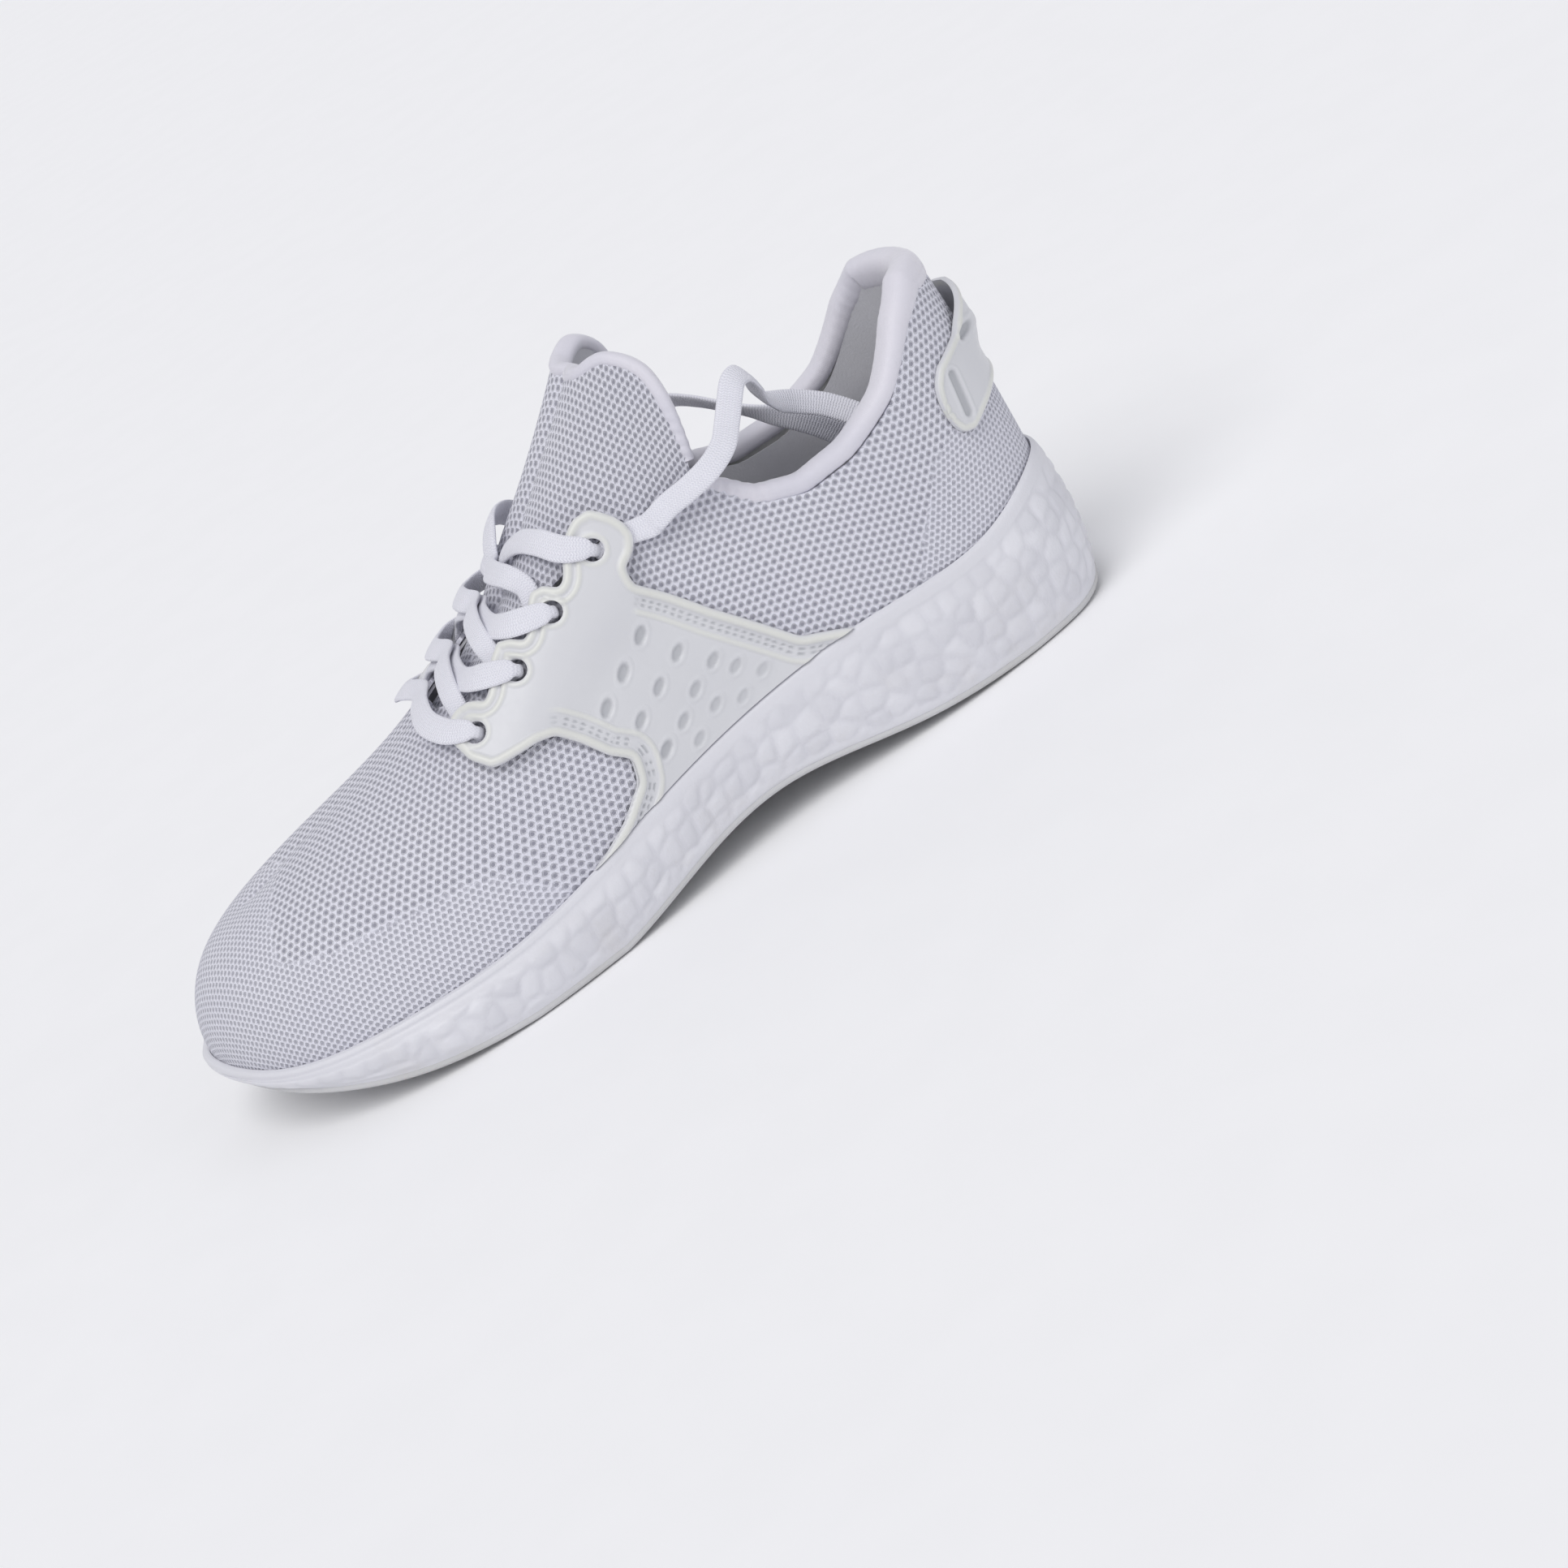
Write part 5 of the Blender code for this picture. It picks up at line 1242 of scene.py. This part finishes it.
def build_tongue(look):
    """Knitted tongue, its foam, its lining, and the tape round its free edge."""
    for name, low, out, thick, finish_name, nodes in (
            ("tongue_knit", 0.0, -0.1, MESH_THICK, "knit", ("tongue_base", "tongue_flap")),
            ("tongue_foam_pad", 0.4, -(MESH_THICK + GAP + 0.1), TONGUE_PAD - 0.1, "pad", ("tongue_foam",)),
            ("tongue_back", 0.3, -(MESH_THICK + 2 * GAP + TONGUE_PAD), LINING_THICK, "lining",
             ("tongue_lining",))):
        j, climb = tongue_places(np.linspace(low, TONGUE_TOP, 90), 34)
        k = np.minimum(j, 20 - j)
        level = out - TONGUE_DIVE * smooth_step(k, 5.3, 6.5)
        piece = shell(name, skin(j, climb, level), skin(j, climb, level - thick), grid_quads(*j.shape),
                      [FINISHES[finish_name]], draped_cloth(j, climb), {"fine": np.zeros_like(j)})
        bend_tongue(piece)
        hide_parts(*nodes)
    line = on_line(TONGUE_EDGE, np.linspace(0.03, 1, 170), 2.5)
    line[-1, 1] = 90.0
    line = np.vstack([line, (line * (-1, 1) + (20, 0))[-2::-1]])
    depth = np.full(len(line), MESH_THICK + 2 * GAP + TONGUE_PAD + LINING_THICK)
    ends = np.abs(np.linspace(-1, 1, len(line)))
    half = look.binding_width / MM / 2 * (0.72 - 0.15 * smooth_step(ends, 0.9, 1.0))
    crease = smooth_step(ends, 0.86, 0.96) * 1.2 + 0.1
    piece = roll("tongue_tape", line[:, 0], line[:, 1], depth, half, 2.4, crease, "satin")
    bend_tongue(piece)
    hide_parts("tongue_binding")


# ==== laces =========================================================================================

def eyelet_turn(side, row):
    """Strand through an eyelet: along the cage, down the hole, back beneath the cage; at the top
    row it leaves the other way. Each step is (millimetres from the hole, offset, width)."""
    k, c = EYELETS[row]
    dk, dc = STRANDS_OVER[row][0][0] - k, STRANDS_OVER[row][0][1] - c
    size = np.hypot(STATION_MM * dk, CLIMB_MM * dc)
    away, far = (0.8, 2.2) if row < 3 else (-1.4, -3.2)
    steps = ((2.6, LACE_OVER + 0.1, 6.2), (0.5, LACE_OVER - 0.8, LACE_BUNCHED),
             (-0.3, LACE_OVER - 2.2, LACE_BUNCHED), (away, LACE_UNDER, LACE_BUNCHED),
             (far, LACE_UNDER - 0.1, 5.0))
    return [(mirrored(k + s * dk / size, side), c + s * dc / size, h, w) for s, h, w in steps]


def crossing(side, row, upper, width):
    """Strand from beneath one row's cage, over the ridge, to the next row's eyelet. The upper
    strand of a crossing stands off the lower one until the two have parted."""
    rise = (LACE_UNDER, 1.9, 3.4, 3.7, 3.8) if upper else (LACE_UNDER, 1.4, 1.4, 1.4, 1.4)
    fall = (5.2, 4.7, 4.1, 3.8) if upper else (5.1, 3.7, 1.6, 1.5)
    near = [(mirrored(k, side), c, h, w) for (k, c), h, w in
            zip(STRANDS_UNDER[row], rise, (5.8, 6.2, 6.6, 6.8, 7.0))]
    far = [(mirrored(k, -side), c, h, w) for (k, c), h, w in
           zip(STRANDS_OVER[row + 1], fall, (7.6, 7.4, 7.0, 7.0))]
    ridge = (mirrored(CROSSINGS[row], side), 89.5, LACE_ON_RIDGE[1 if upper else 0], width)
    return near + [ridge] + far[::-1]


def lace_route(width):
    """(ring position, climb, offset, width) along the laced part of the lace."""
    leave = (4.08, 31.8, LACE_UNDER, width)

    def half(side, uppers):
        """From row 1's eyelet on one side up to the exit behind the cage of a fourth eyelet."""
        route = eyelet_turn(side, 0)
        for row, upper in enumerate(uppers):
            route += crossing(side, row, upper, width)
            side = -side
            route += eyelet_turn(side, row + 1)
        return route + [(mirrored((EYELETS[3][0] + leave[0]) / 2, side), 36, LACE_UNDER, 5.6),
                        (mirrored(leave[0], side), *leave[1:])]

    first = half(-1, (True, False, True))
    second = half(1, (False, True, False))
    rise = list(zip(STRANDS_OVER[0], (5.1, 4.7, 4.0), (7.4, 7.4, width)))
    bar = [(k, c, h, w) for (k, c), h, w in rise] + [(6.88, 89.5, 3.2, width)]
    bar += [(20 - k, c, h, w) for (k, c), h, w in reversed(rise)]
    return first[::-1] + bar + second


def ribbon(name, path, widths, normals, thickness, sides=20):
    """Flat lace: an oval section kept level with the surface that it lies on, thicker where it
    is gathered. The section is turned by an average over its neighbours."""
    tangent = np.gradient(path, axis=0)
    tangent /= np.linalg.norm(tangent, axis=1, keepdims=True)
    across = np.cross(normals, tangent)
    size = np.linalg.norm(across, axis=1, keepdims=True)
    across = across / np.maximum(size, 1e-9)
    for i in range(1, len(across)):
        if size[i, 0] <= 0.75:
            across[i] = across[i - 1]
        elif across[i] @ across[i - 1] < 0:
            across[i] = -across[i]
    for _ in range(14):
        across[1:-1] = (across[:-2] + 2 * across[1:-1] + across[2:]) / 4
    across -= tangent * (across * tangent).sum(1, keepdims=True)
    across /= np.linalg.norm(across, axis=1, keepdims=True)
    rise = np.cross(tangent, across)
    a = np.linspace(0, 2 * np.pi, sides, endpoint=False)
    c, s = np.cos(a), np.sin(a)
    r = (np.abs(c) ** 2.6 + np.abs(s) ** 2.6) ** (-1 / 2.6)
    thick = thickness * (widths.max() / widths) ** 0.75
    ring = (path[:, None] + across[:, None] * (c * r)[None, :, None] * (widths / 2 * MM)[:, None, None]
            + rise[:, None] * (s * r)[None, :, None] * (thick / 2 * MM)[:, None, None])
    run = run_length(path[None], 1)[0] / MM
    cloth = np.stack(np.broadcast_arrays(run[:, None], (c * r * 3.5)[None]), -1)
    return tube(name, ring, cloth, "lace")


def build_laces(look):
    """The laced strand, both free ends, and an aglet on each. The strand is carried on a little
    way inside each free end, so that the braid looks unbroken."""
    width, thickness = look.lace_width / MM, look.lace_thickness / MM
    route = np.array(lace_route(width))
    path = skin(route[:, 0], route[:, 1], route[:, 2])
    normal = last_normal(route[:, 0], np.minimum(route[:, 1], 88.5))
    medial, lateral = to_scene(END_MEDIAL[:2]), to_scene(END_LATERAL[:2])
    path[0], path[-1] = medial[0], lateral[0]
    path = np.vstack([medial[1] * 0.6 + medial[0] * 0.4, path, lateral[1] * 0.6 + lateral[0] * 0.4])
    normal = np.vstack([FREE_FACING, normal, FREE_FACING * (1, -1, 1)])
    normal[1], normal[-2] = normal[0], normal[-1]
    route = np.vstack([route[:1], route, route[-1:]])
    route[[0, -1], 3] = 0.97 * width
    fine = 6
    laced = ribbon("laced_strand", follow(path, fine), follow(route[:, 3:4], fine)[:, 0],
                   follow(normal, fine), thickness)
    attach(laced, "shoe")
    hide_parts("lace")
    for word, points, lead in (("lateral", END_LATERAL, -1), ("medial", END_MEDIAL, 1)):
        path = follow(to_scene(points), 7)
        side = np.broadcast_to(FREE_FACING * (1, lead, 1), path.shape)
        free = ribbon("free_end_" + word, path, np.full(len(path), width), side, 1.12 * thickness)
        heading = path[-1] - path[-2]
        heading /= np.linalg.norm(heading)
        flat = np.cross(heading, (0, 0, 1.0))
        flat /= np.linalg.norm(flat)
        rise = np.cross(flat, heading)
        t = np.array([0.0, 0.3, 1.0, 2.0, AGLET_LENGTH - 1.2, AGLET_LENGTH - 0.3, AGLET_LENGTH])
        size = np.array([0.85, 0.97, 1.0, 0.96, 0.96, 0.9, 0.6]) * AGLET_RADIUS
        a = np.linspace(0, 2 * np.pi, 24, endpoint=False)[None, :, None]
        centre = path[-1] + heading * (GAP + t)[:, None] * MM
        ring = centre[:, None] + (size * MM)[:, None, None] * (np.cos(a) * flat + np.sin(a) * rise)
        cloth = np.zeros((len(t), 24, 2))
        tip = tube("aglet_tip_" + word, ring, cloth, "aglet")
        for piece, cad in ((free, "lace_end_" + word), (tip, "aglet_" + word)):
            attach(piece, "shoe")
            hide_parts(cad)


# ==== stage =========================================================================================

def soft_light(name, source, strength, spread, color=(1, 1, 1)):
    """Wide distant light, even over the whole floor, shining from the source towards the origin."""
    data = bpy.data.lights.new(name, "SUN")
    data.energy, data.angle, data.color = strength, math.radians(spread), color
    obj = bpy.data.objects.new(name, data)
    obj.rotation_euler = Vector(source).to_track_quat("Z", "Y").to_euler()
    bpy.context.scene.collection.objects.link(obj)


def build_stage(look):
    """Camera on the lateral side, looking down a little and rolled so that the toe points down;
    soft lights; pale even floor."""
    scene = bpy.context.scene
    data = bpy.data.cameras.new("camera")
    data.lens, data.sensor_width, data.clip_start = look.camera_lens, 36.0, 0.05
    camera = bpy.data.objects.new("camera", data)
    ahead = Vector(CAMERA_AHEAD).normalized()
    right = ahead.cross(Vector((0, 0, 1))).normalized()
    up = right.cross(ahead)
    roll_by = look.camera_roll
    side = right * math.cos(roll_by) + up * math.sin(roll_by)
    top = side.cross(ahead)
    turn = Matrix((side, top, -ahead)).transposed().to_4x4()
    camera.matrix_world = Matrix.Translation(CAMERA_AT) @ turn
    scene.collection.objects.link(camera)
    scene.camera = camera

    world = bpy.data.worlds.new("pale room")
    scene.world = world
    world.use_nodes = True
    back = world.node_tree.nodes["Background"]
    back.inputs["Color"].default_value = (0.93, 0.94, 1.0, 1)
    back.inputs["Strength"].default_value = look.room_light
    soft_light("key", (-0.5, -0.7, 1.2), look.key_light, 50, (1.0, 0.99, 0.98))
    soft_light("fill", (1.0, -1.2, 0.5), look.key_light * 0.25, 70, (0.95, 0.97, 1.0))
    soft_light("far side fill", (0.1, 1.2, 0.7), look.key_light * 0.3, 80, (0.98, 0.99, 1.0))
    scene.view_settings.view_transform = "Standard"

    nu, nv = 48, 12
    angle = np.linspace(0, 2 * np.pi, nu, endpoint=False)[:, None]
    radius = np.linspace(0.02, 1, nv)[None, :] ** 2 * 14.0
    floor = np.stack([radius * np.cos(angle), radius * np.sin(angle), np.full((nu, nv), -0.0004)], -1)
    mesh = bpy.data.meshes.new("floor")
    faces = grid_quads(nu, nv, wrap=True).tolist() + [[i * nv for i in range(nu)]]
    mesh.from_pydata(floor.reshape(-1, 3), [], faces)
    mat, t, shader = finish("pale floor", look.floor_color, 0.9, specular=0.2)
    own = node(t, "TexCoord", out=3)
    grain = use(t, "Fabric grain", Vector=own, Scale=400.0)
    t.links.new(blend_color(t, ramp(t, grain[0], 0.3, 0.7), tint(look.floor_color, (0.99, 0.99, 0.99)),
                            (*look.floor_color, 1)), shader.inputs["Base Color"])
    mesh.materials.append(mat)
    ground = bpy.data.objects.new("floor", mesh)
    scene.collection.objects.link(ground)


# ==== add-on ========================================================================================

def color_property(name, description, default):
    """Colour setting between 0 and 1."""
    return FloatVectorProperty(name=name, description=description, default=default, subtype="COLOR",
                               min=0.0, max=1.0)


class ShoeLook(bpy.types.PropertyGroup):
    """Sizes and colours that a user may change before building."""
    knit_color: color_property("Knit", "Yarn of the upper", (0.82, 0.82, 0.90))
    foam_color: color_property("Foam", "Midsole foam", (0.73, 0.73, 0.77))
    rubber_color: color_property("Rubber", "Outsole rubber", (0.62, 0.62, 0.63))
    film_color: color_property("Film", "Cages and heel strap", (0.69, 0.695, 0.72))
    binding_color: color_property("Tape", "Collar and tongue tape", (0.73, 0.72, 0.78))
    lace_color: color_property("Laces", "Lace braid", (0.85, 0.85, 0.91))
    floor_color: color_property("Floor", "Floor of the stage", (0.96, 0.96, 0.97))
    knit_spacing: FloatProperty(name="Knit spacing", description="Distance between holes of the knit, mm",
                                default=2.42, min=1.0, max=6.0)
    # strength of the painted shade in the holes of the knit
    hole_shade: FloatProperty(name="Hole darkness", description="How dark the holes of the knit look",
                              default=0.78, min=0.0, max=1.0, subtype="FACTOR")
    bead_size: FloatProperty(name="Bead size", description="Width of a foam bead, mm", default=6.6,
                             min=3.0, max=12.0)
    bead_height: FloatProperty(name="Bead height", description="How far the foam beads stand out",
                               default=0.0005, min=0.0, max=0.002, unit="LENGTH")
    soiling: FloatProperty(name="Soiling", description="Dirt along the lower edge", default=0.25,
                           min=0.0, max=1.0, subtype="FACTOR")
    binding_width: FloatProperty(name="Tape width", description="Height of the rolled tape",
                                 default=0.006, min=0.003, max=0.012, unit="LENGTH")
    lace_width: FloatProperty(name="Lace width", description="Width of the flat lace", default=0.007,
                              min=0.004, max=0.01, unit="LENGTH")
    lace_thickness: FloatProperty(name="Lace thickness", description="Thickness of the flat lace",
                                  default=0.0017, min=0.0008, max=0.003, unit="LENGTH")
    camera_lens: FloatProperty(name="Lens", description="Focal length", default=93.17, min=20, max=200,
                               unit="CAMERA")
    camera_roll: FloatProperty(name="Roll", description="Roll of the camera",
                               default=math.radians(-31.08), subtype="ANGLE")
    key_light: FloatProperty(name="Key light", description="Main light", default=1.5, min=0.0)
    room_light: FloatProperty(name="Room light", description="Even light from all round", default=0.42,
                              min=0.0)


class SHOE_OT_stage(bpy.types.Operator):
    """Camera, lights and floor"""
    bl_idname, bl_label, bl_options = "shoe.stage", "Stage", {"REGISTER", "UNDO"}

    def execute(self, context):
        build_stage(context.scene.running_shoe)
        return {"FINISHED"}


class SHOE_OT_laces(bpy.types.Operator):
    """Laced strand, free ends and aglets"""
    bl_idname, bl_label, bl_options = "shoe.laces", "Laces", {"REGISTER", "UNDO"}

    def execute(self, context):
        build_laces(context.scene.running_shoe)
        return {"FINISHED"}


class SHOE_OT_midsole(bpy.types.Operator):
    """Beaded foam midsole with the toe bumper"""
    bl_idname, bl_label, bl_options = "shoe.midsole", "Midsole", {"REGISTER", "UNDO"}

    def execute(self, context):
        build_midsole(context.scene.running_shoe)
        return {"FINISHED"}


class SHOE_OT_outsole(bpy.types.Operator):
    """Rubber tread"""
    bl_idname, bl_label, bl_options = "shoe.outsole", "Outsole", {"REGISTER", "UNDO"}

    def execute(self, context):
        build_outsole()
        return {"FINISHED"}


class SHOE_OT_knit(bpy.types.Operator):
    """Knitted vamp, quarters and heel panel"""
    bl_idname, bl_label, bl_options = "shoe.knit", "Knitted upper", {"REGISTER", "UNDO"}

    def execute(self, context):
        build_knit()
        return {"FINISHED"}


class SHOE_OT_inside(bpy.types.Operator):
    """Lining, collar foam, sock liner and stiffeners"""
    bl_idname, bl_label, bl_options = "shoe.inside", "Inside", {"REGISTER", "UNDO"}

    def execute(self, context):
        build_inside()
        return {"FINISHED"}


class SHOE_OT_bindings(bpy.types.Operator):
    """Tape round the collar"""
    bl_idname, bl_label, bl_options = "shoe.bindings", "Collar tape", {"REGISTER", "UNDO"}

    def execute(self, context):
        build_bindings(context.scene.running_shoe)
        return {"FINISHED"}


class SHOE_OT_cages(bpy.types.Operator):
    """Moulded side cages with eyelets"""
    bl_idname, bl_label, bl_options = "shoe.cages", "Side cages", {"REGISTER", "UNDO"}

    def execute(self, context):
        build_cages()
        return {"FINISHED"}


class SHOE_OT_heel_tab(bpy.types.Operator):
    """Moulded heel strap with finger loop"""
    bl_idname, bl_label, bl_options = "shoe.heel_tab", "Heel strap", {"REGISTER", "UNDO"}

    def execute(self, context):
        build_heel_tab()
        return {"FINISHED"}


class SHOE_OT_tongue(bpy.types.Operator):
    """Tongue with its foam, lining and tape"""
    bl_idname, bl_label, bl_options = "shoe.tongue", "Tongue", {"REGISTER", "UNDO"}

    def execute(self, context):
        build_tongue(context.scene.running_shoe)
        return {"FINISHED"}


STEPS = (SHOE_OT_stage, SHOE_OT_laces, SHOE_OT_midsole, SHOE_OT_outsole, SHOE_OT_knit, SHOE_OT_inside,
         SHOE_OT_bindings, SHOE_OT_cages, SHOE_OT_heel_tab, SHOE_OT_tongue)


class SHOE_PT_panel(bpy.types.Panel):
    """Sidebar panel with the sizes, the colours and one button per step"""
    bl_label, bl_idname = "Running shoe", "SHOE_PT_panel"
    bl_space_type, bl_region_type, bl_category = "VIEW_3D", "UI", "Shoe"

    def draw(self, context):
        look = context.scene.running_shoe
        for word in ShoeLook.__annotations__:
            self.layout.prop(look, word)
        for step in STEPS:
            self.layout.operator(step.bl_idname)


def register():
    """Adds the classes and the scene's settings."""
    for cls in (ShoeLook, *STEPS, SHOE_PT_panel):
        bpy.utils.register_class(cls)
    bpy.types.Scene.running_shoe = PointerProperty(type=ShoeLook)


def unregister():
    """Takes them away again."""
    del bpy.types.Scene.running_shoe
    for cls in reversed((ShoeLook, *STEPS, SHOE_PT_panel)):
        bpy.utils.unregister_class(cls)


def main():
    """Builds every piece in order."""
    register()
    make_finishes(bpy.context.scene.running_shoe)
    for step in STEPS:
        group, word = step.bl_idname.split(".")
        getattr(getattr(bpy.ops, group), word)()


if __name__ == "__main__":
    main()
